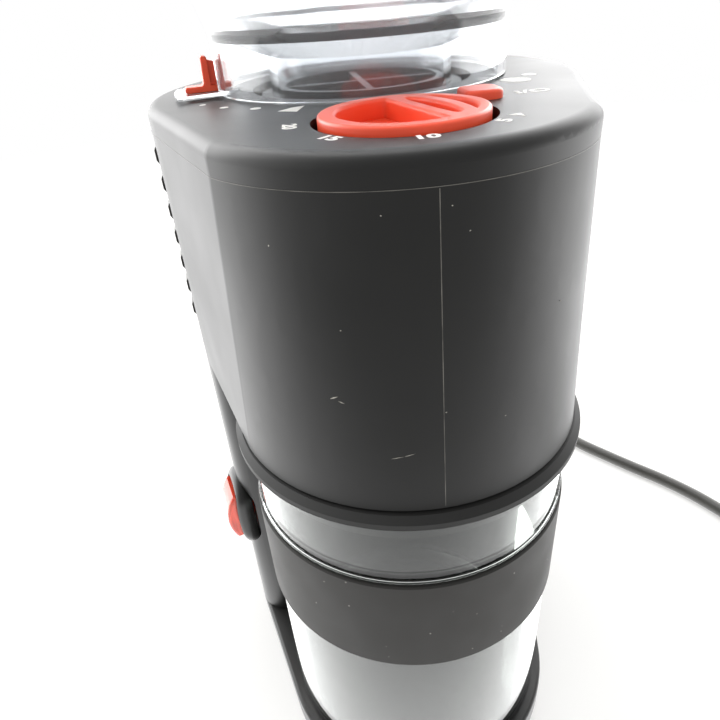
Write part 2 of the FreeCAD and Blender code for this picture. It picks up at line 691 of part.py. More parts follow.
def button_block(grow, low, high):
    """The start button's outline as a block: square on the left, round on the right."""
    wide = val("button_wide") + 2 * grow
    deep = val("button_long") + 2 * grow
    shape = Part.makeBox(wide, deep, high - low, button_place + Vec(-wide / 2, -deep / 2, low))
    upright = [e for e in shape.Edges if e.BoundBox.ZLength > 1e-3]
    right = [e for e in upright if e.BoundBox.XMin > button_place.x]
    shape = shape.makeFillet(val("button_round") + grow, right)
    upright = [e for e in shape.Edges if e.BoundBox.ZLength > 1e-3 and e.BoundBox.XMax < button_place.x]
    return shape.makeFillet(1.0 + grow, upright)


slack = val("slack")
sleeve_low = val("board_top") + 8
sleeve = button_block(slack + 1.4, sleeve_low, top_z - 1)
cap = cap.fuse([lip, well, sleeve])
cap = cap.cut(Part.makeCylinder(well_r, 60, dial_place + Vec(0, 0, well_z + 1.6)))
cap = cap.cut(Part.makeCylinder(val("timer_shaft_r") + 1.6, 60, dial_place + Vec(0, 0, well_z - 1)))
cap = cap.cut(button_block(slack, sleeve_low + 1.4, top_z + 5))
cap = cap.cut(Part.makeCylinder(2.3, 60, button_place + Vec(0, 0, sleeve_low - 1)))
burr_place = Vec(0, val("burr_y"), 0)
hopper_hole = Part.makeCylinder(
    val("chamber_r + wall / 5"), val("head_high"), burr_place + Vec(0, 0, part_z - val("head_high") / 2))
cap = cap.cut(hopper_hole)
node(shaped(cap.removeSplitter()), "top_cover")

# Timer dial: a shallow cup with two grip ridges and a hub on the timer's shaft.
dial = turned([
    ("timer_shaft_r + shaft_fit", "1"), ("timer_shaft_r + 2.2", "1"),
    ("timer_shaft_r + 2.2", "dial_deep - 6.5"), ("dial_r - dial_wall", "dial_deep - 6.5"),
    ("dial_r - dial_wall", "1"), ("dial_r", "1"), ("dial_r", "dial_deep - 0.7"),
    ("dial_r - 0.7", "dial_deep"), ("dial_r - dial_wall + 0.5", "dial_deep"),
    ("dial_r - dial_wall", "dial_deep - 0.5"),
    ("dial_r - dial_wall", "dial_deep - 6.5 + dial_floor"),
    ("timer_shaft_r + shaft_fit", "dial_deep - 6.5 + dial_floor"),
], y="dial_at", z="dial_top - dial_deep")
dial.Placement.Rotation = FreeCAD.Rotation(Vec(0, 0, 1), val("dial_angle"))
ridges = []
for left, wide in (("1 - 4.2", "3.2"), ("1 + 4.4", "3.4")):
    ridge = doc.addObject("Part::Box", "Ridge")
    bind(ridge, Length=wide, Width="2 * dial_r - 6", Height="6.4 - dial_floor")
    ridge.Placement = FreeCAD.Placement(
        Vec(0, val("dial_at"), val("dial_top - 6.5 + dial_floor")),
        FreeCAD.Rotation(Vec(0, 0, 1), val("dial_angle")),
    ).multiply(FreeCAD.Placement(Vec(val(left), -val("dial_r - 3"), -0.1), FreeCAD.Rotation()))
    ridges.append(ridge)
inside = cylinder("dial_r - dial_wall + 0.4", "20", "0", "dial_at", "well_z")
bars = doc.addObject("Part::Common", "Bars")
bars.Base = fuse(*ridges)
bars.Tool = inside
node(fuse(dial, bars), "timer_dial")

# The timer under the dial: its body on the board, and the shaft that the dial turns.
node(cut(
    fuse(cylinder("timer_r", "well_z - board_top - timer_drop", "0", "dial_at", "board_top"),
         cylinder("timer_shaft_r + 1.4", "well_z - board_top + 1", "0", "dial_at", "board_top")),
    cylinder("timer_shaft_r + shaft_fit", "60", "0", "dial_at", "board_top + 1.5"),
), "timer_potentiometer")
node(cylinder("timer_shaft_r", "dial_top - 6.8 + dial_floor - board_top - 2", "0", "dial_at",
              "board_top + 2"), "timer_shaft")

# Start button with its flange, stem and return spring, over a micro switch.
button_low = top_z - val("board_drop") + val("board_thick") + 8 + 1.4 + 7
button = button_block(0.0, button_low, top_z + val("button_proud"))
button_rim = [edge for edge in button.Edges if lies_at(edge, top_z + val("button_proud"))]
button = button.makeFillet(0.8, button_rim)
stem = Part.makeCylinder(1.8, button_low - sleeve_low + 1.6, button_place + Vec(0, 0, sleeve_low - 1.6))
node(shaped(button.fuse(stem)), "start_button")
node(fuse(
    block("micro_long", "micro_wide", "micro_high", "button_x", "button_at", "board_top"),
    cylinder("micro_wide / 6", "micro_high + micro_pin", "button_x", "button_at", "board_top"),
), "micro_switch")

# The board carries the timer, the micro switch, a relay and a capacitor.
board = fuse(
    block("board_long", "board_wide", "board_thick", "wall", "dial_at + board_wide / 9", "board_z"),
    block("relay_long", "relay_wide", "relay_high", "-board_long / 2 + relay_long / 2 + 2 * wall",
          "dial_at + timer_r + relay_wide / 2 + 1", "board_top"),
    cylinder("capacitor_r", "capacitor_high", "-board_long / 2 + capacitor_r + 2 * wall",
             "dial_at - 2 * capacitor_r", "board_top"),
)
node(board, "control_board")

# Power switch: an oval bezel in the left shell, its rocker and the switch behind.
bezel = oval(val("bezel_wide"), val("bezel_tall"), val("switch_r"), val("body_r + bezel_proud"))
face_edges = [e for e in bezel.Edges if lies_at(e, val("body_r + bezel_proud"))]
bezel = bezel.makeFillet(val("bezel_round"), face_edges)
window = oval(
    val("rocker_wide") + 2 * slack, val("rocker_tall + 2 * window_room"), 0, 2 * val("body_r"),
    val("window_round"))
bezel = bezel.cut(window)
bezel.Placement = switch_frame
node(shaped(bezel), "switch_bezel")

fit = val("fit")
rocker_foot = val("switch_r + rocker_seat")
crown = val("body_r + rocker_proud")
tall = val("rocker_tall") / 2
shoulder = crown - val("rocker_arch")
side = Part.Wire([
    Part.LineSegment(Vec(0, -tall, shoulder), Vec(0, -tall + 1.5, rocker_foot)).toShape(),
    Part.LineSegment(Vec(0, -tall + 1.5, rocker_foot), Vec(0, tall - 1.5, rocker_foot)).toShape(),
    Part.LineSegment(Vec(0, tall - 1.5, rocker_foot), Vec(0, tall, shoulder)).toShape(),
    Part.Arc(Vec(0, tall, shoulder), Vec(0, 0, crown), Vec(0, -tall, shoulder)).toShape(),
])
rocker = Part.Face(side).extrude(Vec(val("rocker_wide"), 0, 0))
rocker.translate(Vec(-val("rocker_wide") / 2, 0, 0))
long_edges = [e for e in rocker.Edges if e.BoundBox.ZMax > crown - 0.1]
rocker = rocker.makeFillet(val("rocker_round"), long_edges)
pivot = Vec(-val("rocker_wide") / 2 - fit, 0, rocker_foot + 2)
rocker = rocker.fuse(Part.makeCylinder(
    val("rocker_pin"), val("rocker_wide") + 2 * fit, pivot, Vec(1, 0, 0)))
rocker.rotate(pivot, Vec(1, 0, 0), -val("rocker_tilt"))
rocker.Placement = switch_frame.multiply(rocker.Placement)
node(shaped(rocker), "power_rocker")
switch_back = val("switch_r - fit - switch_deep")
housing = Part.makeBox(
    val("switch_wide"), val("switch_tall"), val("switch_deep"),
    Vec(-val("switch_wide") / 2, -val("switch_tall") / 2, switch_back))
blade_thick, blade_wide = val("blade_thick"), val("blade_wide")
blades = [Part.makeBox(
    blade_thick, blade_wide, val("blade_long") + 1,
    Vec(-val("switch_wide") / 6 - blade_thick, middle - blade_wide / 2, switch_back - val("blade_long")))
    for middle in (-val("switch_tall") / 4, val("switch_tall") / 4)]
housing = housing.fuse(blades)
frame_top = val("switch_r - fit")
switch_frame_plate = oval(
    val("frame_wide"), val("frame_tall"), frame_top - val("frame_thick"), frame_top, val("window_round"))
housing = housing.fuse(switch_frame_plate)
housing.Placement = switch_frame
node(shaped(housing.removeSplitter()), "switch_body")

# The jar: thick glass floor, straight wall, rounded rim.
node(turned([
    ("0", "0.6"), ("jar_r - 6", "0.6"), ("jar_r - 6.6", "0"), ("jar_r - 2", "0"),
    ("jar_r - 0.6", "0.6"), ("jar_r", "2"), ("jar_r", "jar_high - 0.6"),
    ("jar_r - 0.6", "jar_high"), ("jar_r - jar_wall + 0.6", "jar_high"),
    ("jar_r - jar_wall", "jar_high - 0.6"), ("jar_r - jar_wall", "jar_floor + 2"),
    ("jar_r - jar_wall - 2", "jar_floor"), ("0", "jar_floor"),
], *JAR, "base_top"), "glass_jar")
node(turned([
    ("jar_r + shaft_fit", "0"), ("jar_r + band_thick - 0.4", "0"),
    ("jar_r + band_thick", "0.4"), ("jar_r + band_thick", "band_high - 0.4"),
    ("jar_r + band_thick - 0.4", "band_high"), ("jar_r + shaft_fit", "band_high"),
], *JAR, "jar_top - band_drop - band_high"), "jar_band")
node(turned([
    ("lid_hole_r", "plug_deep + lid_high"), ("lid_hole_r", "plug_deep + lid_high - 1.6"),
    ("jar_r - jar_wall - fit - lid_web", "plug_deep - 0.6"),
    ("jar_r - jar_wall - fit - lid_web", "0"), ("jar_r - jar_wall - fit", "0"),
    ("jar_r - jar_wall - fit", "plug_deep"), ("lid_r - 0.6", "plug_deep"),
    ("lid_r", "plug_deep + 0.6"), ("lid_r", "plug_deep + lid_high - 1.6"),
    ("lid_r - 1.6", "plug_deep + lid_high"),
], *JAR, "jar_top - plug_deep"), "jar_lid")

# Hopper: a clear bowl on a skirt, with a funnel and a neck that drops into the collar. The
# flat tab at the skirt's foot, which carries the pointer, is a piece of its own.
# Its wall is drawn from the neck's foot up the outside, over the rim and down inside.
hop = {
    "skirt": "skirt_gap + neck_deep",
    "ledge": "skirt_gap + neck_deep + skirt_high",
    "rim": "skirt_gap + neck_deep + skirt_high + hopper_high",
}
hopper = turned([
    ("neck_r - hopper_wall", "0"), ("neck_r", "0"), ("neck_r", hop["skirt"] + " + 8"),
    ("skirt_r - hopper_wall", hop["ledge"] + " - hopper_wall"),
    ("skirt_r - hopper_wall", hop["skirt"]), ("skirt_r", hop["skirt"]),
    ("skirt_r", hop["ledge"]), ("hopper_r", hop["rim"]),
    ("hopper_r - hopper_wall", hop["rim"]),
    ("skirt_r - hopper_wall - 1", hop["ledge"] + " + 1.5"),
    ("neck_r - hopper_wall", hop["skirt"] + " + 9"),
], *BURR, "neck_z")
tab = Part.makeCylinder(
    val("tab_r"), 1.0, burr_place + Vec(0, 0, val("skirt_z")), Vec(0, 0, 1), 2 * val("tab_angle_half"))
tab.rotate(burr_place, Vec(0, 0, 1), val("pointer_turn") - val("tab_angle_half"))
tab = tab.cut(Part.makeCylinder(val("skirt_r"), 2 * val("rim_z"), burr_place))
node(hopper, "hopper")
node(shaped(tab), "hopper_tab")

node(turned([
    ("0", "hopper_lid_high + 2"), ("6", "hopper_lid_high + 2"),
    ("hopper_r * 0.6", "hopper_lid_high + 1.5"),
    ("hopper_r - hopper_wall - 4", "6"), ("hopper_r - hopper_wall - 3.4", "0"),
    ("hopper_r - hopper_wall - 1.8", "0"), ("hopper_r - hopper_wall - slack", "4.1"),
    ("hopper_r + 1", "4.1"),
    ("hopper_r + 1.6", "5"), ("hopper_r + 1", "7"), ("hopper_r * 0.62", "hopper_lid_high + 3.5"),
    ("6", "hopper_lid_high + 4"), ("0", "hopper_lid_high + 4"),
], *BURR, "rim_z - 4"), "hopper_lid")

# Finger guard: a ring in the hopper's neck, and a cross of bars inside it.
guard_r = "neck_r - hopper_wall - fit"
node(cut(
    cylinder(guard_r, "guard_high", *BURR, "skirt_z - guard_high"),
    cylinder(guard_r + " - guard_wall", "2 * guard_high", *BURR, "skirt_z - 1.5 * guard_high"),
), "finger_guard")
bar_long = "2 * (%s - guard_wall - shaft_fit)" % guard_r
node(fuse(
    block(bar_long, "guard_bar", "0.8 * guard_high", *BURR, "skirt_z - guard_high"),
    block("guard_bar", bar_long, "0.8 * guard_high", *BURR, "skirt_z - guard_high"),
), "guard_cross")

# Red pointer on the hopper's tab: a foot, an upright rib and a plate behind it.
foot = Part.makeBox(9.5, 5, 1.6, Vec(val("skirt_r"), -2.5, 0))
rib = Part.makeBox(2.2, 5, 8.6, Vec(val("skirt_r") + 3, -2.5, 0))
fin = Part.makeBox(3.4, 1.8, 7, Vec(val("skirt_r"), -0.9, 0))
pointer = foot.fuse([rib, fin]).removeSplitter()
pointer.Placement = FreeCAD.Placement(
    Vec(0, val("burr_y"), val("skirt_z") + 1.0), FreeCAD.Rotation(Vec(0, 0, 1), val("pointer_turn")))
node(shaped(pointer), "grind_pointer")

# Adjusting collar: takes the hopper's neck and rests on the burr chamber's rim.
node(turned([
    ("neck_r + fit", "0"), ("chamber_r - 0.5", "0"), ("chamber_r - 0.5", "collar_step"),
    ("neck_r + 0.6 * collar_step", "collar_step"),
    ("neck_r + 0.6 * collar_step", "skirt_z - collar_z - 2"),
    ("neck_r + fit", "skirt_z - collar_z - 2"),
], *BURR, "collar_z"), "adjusting_collar")

# Burr chamber: a cup with an outlet window in front and a hole for the bearing.
chamber = turned([
    ("8.05", "0"), ("chamber_r", "0"), ("chamber_r", "chamber_high"),
    ("chamber_r - wall", "chamber_high"), ("chamber_r - wall", "wall"), ("8.05", "wall"),
], *BURR, "chamber_z")
outlet = block("16", "20", "10", "0", "burr_y - chamber_r", "chamber_floor + 0.5")
node(cut(chamber, outlet), "burr_chamber")

# Chute from the window down to the outlet over the jar.
chute_back = val("burr_y") - val("chamber_r") + 0.1
spout_y = val("jar_y")
floor_z = val("chamber_floor")
under = val("under_top")


def chute_side(grow, low):
    return [
        Vec(0, chute_back, floor_z + 10.5 + grow), Vec(0, chute_back, floor_z - grow),
        Vec(0, spout_y + 10 + grow, under + 14), Vec(0, spout_y + 10 + grow, under + low),
        Vec(0, spout_y - 10 - grow, under + low), Vec(0, spout_y - 10 - grow, floor_z),
        Vec(0, spout_y + 2, floor_z + 10.5 + grow), Vec(0, chute_back, floor_z + 10.5 + grow),
    ]


chute_out = Part.Face(Part.makePolygon(chute_side(1.6, 0))).extrude(Vec(23.2, 0, 0))
chute_out.translate(Vec(-11.6, 0, 0))
chute_in = Part.Face(Part.makePolygon(chute_side(0, -1))).extrude(Vec(20, 0, 0))
chute_in.translate(Vec(-10, 0, 0))
chute_mouth = Part.makeBox(16, 6, 10, Vec(-8, chute_back - 3, floor_z + 0.5))
chute = chute_out.cut(chute_in)
back_plate = Part.makeBox(23.2, 1.6, 13.7, Vec(-11.6, chute_back - 1.6, floor_z - 1.6))
chute = chute.fuse(back_plate.cut(chute_mouth))
chute = chute.cut(Part.makeCylinder(val("chamber_r") + 0.05, 300, burr_place))
node(shaped(chute.removeSplitter()), "outlet_chute")


def gear_face(teeth, turn):
    """An involute gear's outline, with the middle of a tooth at an angle in degrees."""
    module = val("module")
    pitch = module * teeth / 2
    base = pitch * math.cos(math.radians(20))
    tip = pitch + module
    root = pitch - 1.25 * module
    half = math.pi / (2 * teeth) - val("backlash") / (2 * pitch)

    def roll(radius):
        if radius <= base:
            return 0.0
        lean = math.acos(base / radius)
        return math.tan(lean) - lean

    start = max(root, base)
    steps = [start + (tip - start) * share for share in (0.0, 0.35, 0.7, 1.0)]
    flank = [(r, half + roll(pitch) - roll(r)) for r in steps]
    if root < base:
        flank = [(root, flank[0][1])] + flank
    spots = []
    for tooth in range(teeth):
        middle = math.radians(turn) + 2 * math.pi * tooth / teeth
        spots += [(r, middle - a) for r, a in flank]
        spots += [(r, middle + a) for r, a in reversed(flank)]
    corners = [Vec(r * math.cos(a), r * math.sin(a), 0) for r, a in spots]
    return Part.Face(Part.makePolygon(corners + corners[:1]))


def gear(teeth, turn, tall, bore, spot):
    """A spur gear with a round bore."""
    solid = gear_face(teeth, turn).extrude(Vec(0, 0, tall))
    if bore:
        solid = solid.cut(Part.makeCylinder(bore, tall, Vec(0, 0, 0)))
    solid.translate(spot)
    return solid


# The idler's axis lies at the two centre distances from the burrs' and the motor's axes.
far = val("main_r + small_r")
near = val("idler_r + pinion_r")
span = val("motor_gap")
idler_back = (far ** 2 - near ** 2 + span ** 2) / (2 * span)
idler_side = math.sqrt(far ** 2 - idler_back ** 2)
idler_spot = Vec(idler_side, val("burr_y") + idler_back, 0)
motor_spot = Vec(0, val("burr_y") + span, 0)
low_z, high_z = val("low_gear_z"), val("high_gear_z")

# Each gear is turned so that a tooth of one faces a space of the next.
to_idler = math.degrees(math.atan2(idler_back, idler_side))
to_motor = math.degrees(math.atan2(motor_spot.y - idler_spot.y, motor_spot.x - idler_spot.x))
main_teeth, small_teeth = int(val("main_teeth")), int(val("small_teeth"))
idler_teeth, pinion_teeth = int(val("idler_teeth")), int(val("pinion_teeth"))
lift = Vec(0, 0, high_z)
main_gear = gear(main_teeth, to_idler, 7, val("burr_shaft_r + shaft_fit"), burr_place + lift)
recess = Part.makeCylinder(val("main_r") - 3.5, 2.0, burr_place + Vec(0, 0, high_z + 5))
recess = recess.cut(Part.makeCylinder(8, 2.0, burr_place + Vec(0, 0, high_z + 5)))
node(shaped(main_gear.cut(recess)), "main_gear")
pin_r = val("pin_r")
small = gear(small_teeth, to_idler + 180 + 180.0 / small_teeth, 8.5, 0, idler_spot + Vec(0, 0, low_z + 5))
wheel = gear(idler_teeth, to_motor, 5, 0, idler_spot + Vec(0, 0, low_z))
idler = wheel.fuse(small).cut(Part.makeCylinder(pin_r + val("shaft_fit"), 300, idler_spot))
node(shaped(idler), "idler_gear")
pinion_turn = to_motor + 180 + 180.0 / pinion_teeth
pinion = gear(pinion_teeth, pinion_turn, 7.5, val("motor_shaft_r") + 0.02, motor_spot + Vec(0, 0, low_z - 1))
node(shaped(pinion), "motor_pinion")

# Gearbox: a floor across the head with a wall round the gears, and a lid on it.
deck = val("deck")
room_top = val("room_top")
pots = [
    (burr_place, val("main_r + gear_gap")), (idler_spot, val("idler_r + gear_gap")),
    (motor_spot, val("pinion_r + gear_gap")),
]


def pots_solid(grow, low, high):
    made = [Part.makeCylinder(r + grow, high - low, p + Vec(0, 0, low)) for p, r in pots]
    return made[0].fuse(made[1:])


floor = head_solid(skin + val("fit") + 0.1).common(
    Part.makeBox(200, 200, deck, Vec(-100, val("jar_y") + 14, under)))
wall_ring = pots_solid(skin, under + deck - 0.5, room_top).cut(pots_solid(0, under + deck, room_top + 1))
box = floor.fuse(wall_ring)
bush_r = val("burr_shaft_r") + 3
box = box.cut(Part.makeCylinder(bush_r + 0.02, deck + 2, burr_place + Vec(0, 0, under - 1)))
box = box.cut(Part.makeCylinder(pin_r + 0.02, 1.5, idler_spot + Vec(0, 0, under + deck - 1.5)))
box = box.cut(Part.makeCylinder(6, deck + 2, motor_spot + Vec(0, 0, under - 1)))
box = box.cut(chute_out)
node(shaped(box.removeSplitter()), "gearbox_housing")
lid = pots_solid(skin, room_top, room_top + deck)
lid = lid.cut(Part.makeCylinder(8.05, 300, burr_place))
lid = lid.cut(Part.makeCylinder(pin_r + 0.02, 1.5, idler_spot + Vec(0, 0, room_top)))
node(shaped(lid.removeSplitter()), "gearbox_cover")
node(shaped(Part.makeCylinder(
    pin_r, val("gear_room") + 3, idler_spot + Vec(0, 0, under + deck - 1.5))), "idler_pin")

# Motor in the column, hung under the gearbox floor.
motor_low = "under_top - motor_high"
motor_y = "burr_y + motor_gap"
node(turned([
    ("motor_shaft_r + 2.5", "0"), ("motor_r - 1", "0"), ("motor_r", "1"),
    ("motor_r", "motor_high - 1"), ("motor_r - 1", "motor_high"),
    ("motor_shaft_r + 2.5", "motor_high"), ("motor_shaft_r + 2.5", "motor_high - 2"),
    ("motor_r - 1.5", "motor_high - 2"), ("motor_r - 1.5", "2"), ("motor_shaft_r + 2.5", "2"),
], y=motor_y, z=motor_low), "motor_can")
rotor = turned([
    ("motor_shaft_r + 0.02", "12"), ("motor_r - 7.5", "12"), ("motor_r - 7.5", "motor_high - 20"),
    ("motor_shaft_r + 0.02", "motor_high - 20"),
], y=motor_y, z=motor_low)
node(rotor, "motor_rotor")
node(cylinder("motor_shaft_r", "motor_high + 14.5", "0", motor_y, motor_low + " - 2"), "motor_shaft")
magnets = []
for side in (0, 180):
    magnet = Part.makeCylinder(
        val("motor_r") - 1.6, val("motor_high") - 28,
        motor_spot + Vec(0, 0, val(motor_low) + 10), Vec(0, 0, 1), 130)
    magnet.rotate(motor_spot, Vec(0, 0, 1), side - 65)
    magnets.append(magnet.cut(Part.makeCylinder(val("motor_r") - 6.8, 300, motor_spot)))
node(shaped(Part.makeCompound(magnets)), "motor_magnets")
bearings = []
for low in ("0.05", "motor_high - 5"):
    bearings.append(cut(
        cylinder("motor_shaft_r + 2.45", "5 - 0.05", "0", motor_y, motor_low + " + " + low),
        cylinder("motor_shaft_r + shaft_fit", "12", "0", motor_y, motor_low + " - 3 + " + low),
    ))
node(group(*bearings), "motor_bearings")

# Burr shaft, its two bushes, the carrier with its paddles, and the burrs.
shaft_top = "cone_z + cone_high + 5"
node(cylinder("burr_shaft_r", shaft_top + " - under_top - 1", *BURR, "under_top + 1"), "burr_shaft")
node(cut(
    cylinder("burr_shaft_r + 3", "deck + 2", *BURR, "under_top"),
    cylinder("burr_shaft_r + shaft_fit", "300", "0", "burr_y"),
), "lower_bush")
node(cut(
    cylinder("8", "chamber_floor - room_top + 0.8", *BURR, "room_top"),
    cylinder("burr_shaft_r + shaft_fit", "300", "0", "burr_y"),
), "shaft_bearing")
paddle_foot = val("cone_r - 1.5")
paddles = []
for turn in (20, 110, 200, 290):
    paddle = Part.makeBox(
        val("chamber_r - wall - 1.5") - paddle_foot, 2.5, 4,
        at(turn, paddle_foot, y=val("burr_y"), z=val("carrier_z") + 2.9))
    paddles.append(shaped(paddle.rotated(at(turn, paddle_foot, y=val("burr_y")), Vec(0, 0, 1), turn)))
hub = fuse(
    cylinder("chamber_r - wall - 1", "3", *BURR, "carrier_z"),
    cylinder("cone_r - 0.5", "9", *BURR, "carrier_z"),
    *paddles,
)
node(cut(hub, cylinder("burr_shaft_r + shaft_fit", "300", "0", "burr_y")), "burr_carrier")


def cone_at(share):
    """The cone burr's radius from its foot, 0, to its top, 1."""
    return val("cone_r") - share * 8.5


cone_z = val("cone_z")
cone = Part.makeCylinder(val("cone_r"), 2, burr_place + Vec(0, 0, cone_z))
cone = cone.fuse(Part.makeCone(
    cone_at(0), cone_at(1), val("cone_high") - 2, burr_place + Vec(0, 0, cone_z + 2)))
flutes = []
for tooth in range(14):
    turn = 360.0 / 14 * tooth
    spots = []
    for share, lean in ((0.0, 0.0), (1.0, 22.0)):
        height = cone_z + 2 + share * (val("cone_high") - 2)
        radius = cone_at(share)
        spots.append([
            at(turn + lean + a, radius + r, y=val("burr_y"), z=height + (0.5 if share else -0.5))
            for a, r in ((-4.0, 1.5), (-1.0, -1.8 - share), (8.0, 1.5))])
    wires = [Part.makePolygon(three + three[:1]) for three in spots]
    flutes.append(Part.makeLoft(wires, True, True))
cone = cone.cut(Part.makeCompound(flutes))
cone = cone.cut(Part.makeCylinder(val("burr_shaft_r + shaft_fit"), 300, burr_place))
node(shaped(cone), "cone_burr")
hexagon = Part.makePolygon([at(60 * i, 6.5) for i in range(6)] + [at(0, 6.5)])
nut = Part.Face(hexagon).extrude(Vec(0, 0, 3.5))
nut.translate(burr_place + Vec(0, 0, cone_z + val("cone_high")))
nut = nut.cut(Part.makeCylinder(val("burr_shaft_r + shaft_fit"), 300, burr_place))
node(shaped(nut), "burr_nut")

ring_z = cone_z - 0.2
ring_in = val("cone_r + grind_gap")
ring_burr = Part.makeCylinder(val("ring_r"), val("ring_high"), burr_place + Vec(0, 0, ring_z))
ring_burr = ring_burr.cut(Part.makeCone(
    ring_in, ring_in + 1.8, val("ring_high"), burr_place + Vec(0, 0, ring_z)))
notches = []
for tooth in range(24):
    notch = Part.makePolygon([Vec(-0.3, -1.2, 0), Vec(1.6, 0.2, 0), Vec(-0.3, 1.2, 0), Vec(-0.3, -1.2, 0)])
    notch = Part.Face(notch).extrude(Vec(1.8, 0, val("ring_high")))
    notch.translate(Vec(ring_in, 0, ring_z))
    notch.rotate(Vec(0, 0, 0), Vec(0, 0, 1), 15.0 * tooth)
    notch.translate(burr_place)
    notches.append(notch)
ring_burr = ring_burr.cut(Part.makeCompound(notches))
node(shaped(ring_burr), "ring_burr")

# The holder carries the ring burr and rises a little as the hopper turns.
node(turned([
    ("ring_r + fit", "0"), ("chamber_r - wall - slack", "0"),
    ("chamber_r - wall - slack", "chamber_top - cone_z - 0.2"),
    ("neck_r - hopper_wall - 1", "chamber_top - cone_z - 0.2"),
    ("cone_r + 2.6", "ring_high + 0.2"), ("ring_r + fit", "ring_high + 0.2"),
], *BURR, "cone_z - 0.2"), "burr_holder")

# Return spring of the start button, between the sleeve's floor and the button.
spring_low = sleeve_low + 1.4
spring = Part.makeCylinder(3.4, button_low - spring_low, button_place + Vec(0, 0, spring_low))
spring = spring.cut(Part.makeCylinder(2.7, 60, button_place + Vec(0, 0, spring_low - 1)))
node(shaped(spring), "button_spring")


def biarc(p0, t0, p1, t1):
    """Two arcs that leave p0 along t0 and reach p1 along t1."""
    chord = p1 - p0
    both = t0 + t1
    spare = 4 - both.dot(both)
    slope = chord.dot(both)
    square = chord.dot(chord)
    if spare < 1e-9:
        reach = square / (2 * slope)
    else:
        reach = (-slope + math.sqrt(slope * slope + spare * square)) / spare
    joint = (p0 + t0 * reach + p1 - t1 * reach) * 0.5
    made = []
    for start, way, end in ((p0, t0, joint), (joint, None, p1)):
        if way is None:
            way = (joint - (p0 + t0 * reach)).normalize()
        line = end - start
        cosine = line.dot(way) / line.Length
        bend = math.acos(max(-1.0, min(1.0, cosine)))
        if bend < 1e-7:
            made.append(Part.LineSegment(start, end).toShape())
            continue
        aside = (line - way * line.dot(way)).normalize()
        radius = line.Length / (2 * math.sin(bend))
        middle = start + aside * radius + (way * math.sin(bend) - aside * math.cos(bend)) * radius
        made.append(Part.Arc(start, middle, end).toShape())
    return made


def wound(curve, first, last, count, wire_radius, lead_in=0.0):
    """A wire along a curve of a turn angle, as one pipe on tangent arcs."""
    def way(turn):
        small = 1e-5
        return (curve(turn + small) - curve(turn - small)).normalize()

    edges = []
    stops = [first + (last - first) * i / count for i in range(count + 1)]
    if lead_in:
        p, t = curve(first), way(first)
        edges.append(Part.LineSegment(p - t * lead_in, p).toShape())
    for here, there in zip(stops, stops[1:]):
        edges += biarc(curve(here), way(here), curve(there), way(there))
    if lead_in:
        p, t = curve(last), way(last)
        edges.append(Part.LineSegment(p, p + t * lead_in).toShape())
    spine = Part.Wire(edges)
    start = spine.Edges[0].valueAt(spine.Edges[0].FirstParameter)
    heading = spine.Edges[0].tangentAt(spine.Edges[0].FirstParameter)
    ring = Part.Wire([Part.Circle(start, heading, wire_radius).toShape()])
    return spine, spine.makePipeShell([ring], True, False)


def least_gap(spine, wire_radius, step):
    """The least gap between a wound wire's turns, measured on points along its path."""
    marks = []
    run = 0.0
    for edge in spine.Edges:
        parts = max(int(edge.Length / step), 1)
        for i in range(parts):
            place = edge.getParameterByLength(edge.Length * i / parts)
            marks.append((run + edge.Length * i / parts, edge.valueAt(place)))
        run += edge.Length
    apart = 4 * math.pi * wire_radius
    least = min(
        (p - q).Length for i, (s, p) in enumerate(marks) for u, q in marks[i + 1:] if u - s > apart)
    return least - 2 * wire_radius


# Mains lead. The strain relief is a taper with grooves, moulded on the lead.
relief_sides = []
for ring in range(3):
    low = "relief_ring * %d" % (ring + 1)
    thick = "cord_r + %.1f" % (1.9 - 0.4 * ring)
    relief_sides += [
        (thick, low + " + 1.6"), (thick + " - relief_groove", low + " + 2.2"),
        (thick + " - 0.2", low + " + 3"),
    ]
relief = turned([
    ("cord_r + shaft_fit", "-relief_deep"), ("relief_neck + relief_flange", "-relief_deep"),
    ("relief_neck + relief_flange", "-wall - 0.2"), ("relief_neck", "-wall - 0.2"),
    ("relief_neck", "0.2"), ("relief_neck + 1.6", "0.2"), ("relief_neck + 1.4", "3"),
    *relief_sides, ("cord_r + 0.7", "relief_long"), ("cord_r + shaft_fit", "relief_long"),
], None)
relief.Placement = FreeCAD.Placement(lead_root, FreeCAD.Rotation(Vec(0, 0, 1), lead_way))
node(relief, "strain_relief")

cord_r = val("cord_r")
relief_end = lead_root + lead_way * val("relief_long")
coil_r = val("coil_r")
coil_step = val("coil_step")
coil_low = cord_r + val("coil_lift")
coil_turns = 3.0
swing = coil_turns / 2
coil_start = math.radians(204)
coil_place = Vec(val("coil_x"), val("coil_y"), 0)


def coil_curve(turn):
    """In by half the turns on the table, up a layer and out again on top."""
    count = turn / (2 * math.pi)
    wide = coil_r + coil_step * swing / 2
    if count < swing:
        radius = wide - coil_step * count
    else:
        radius = wide - coil_step * (2 * swing - count)
    rise = (count - swing + 0.25) / 0.5
    rise = min(max(rise, 0.0), 1.0)
    rise = rise * rise * (3 - 2 * rise)
    half = 0.12
    if abs(count - swing) < half:
        bend = (half * half + (count - swing) ** 2) / (2 * half)
        radius = wide - coil_step * swing + coil_step * bend
    angle = coil_start + turn
    return coil_place + Vec(
        radius * math.cos(angle), radius * math.sin(angle), coil_low + coil_step * 0.98 * rise)


coil_spine, coil = wound(coil_curve, 0.0, 2 * math.pi * coil_turns, 12, cord_r, 2 * cord_r)
node(shaped(coil), "cord_coil")
print("cord coil: least gap %.2f mm, wire %.0f mm" % (least_gap(coil_spine, cord_r, 3.0), coil_spine.Length))


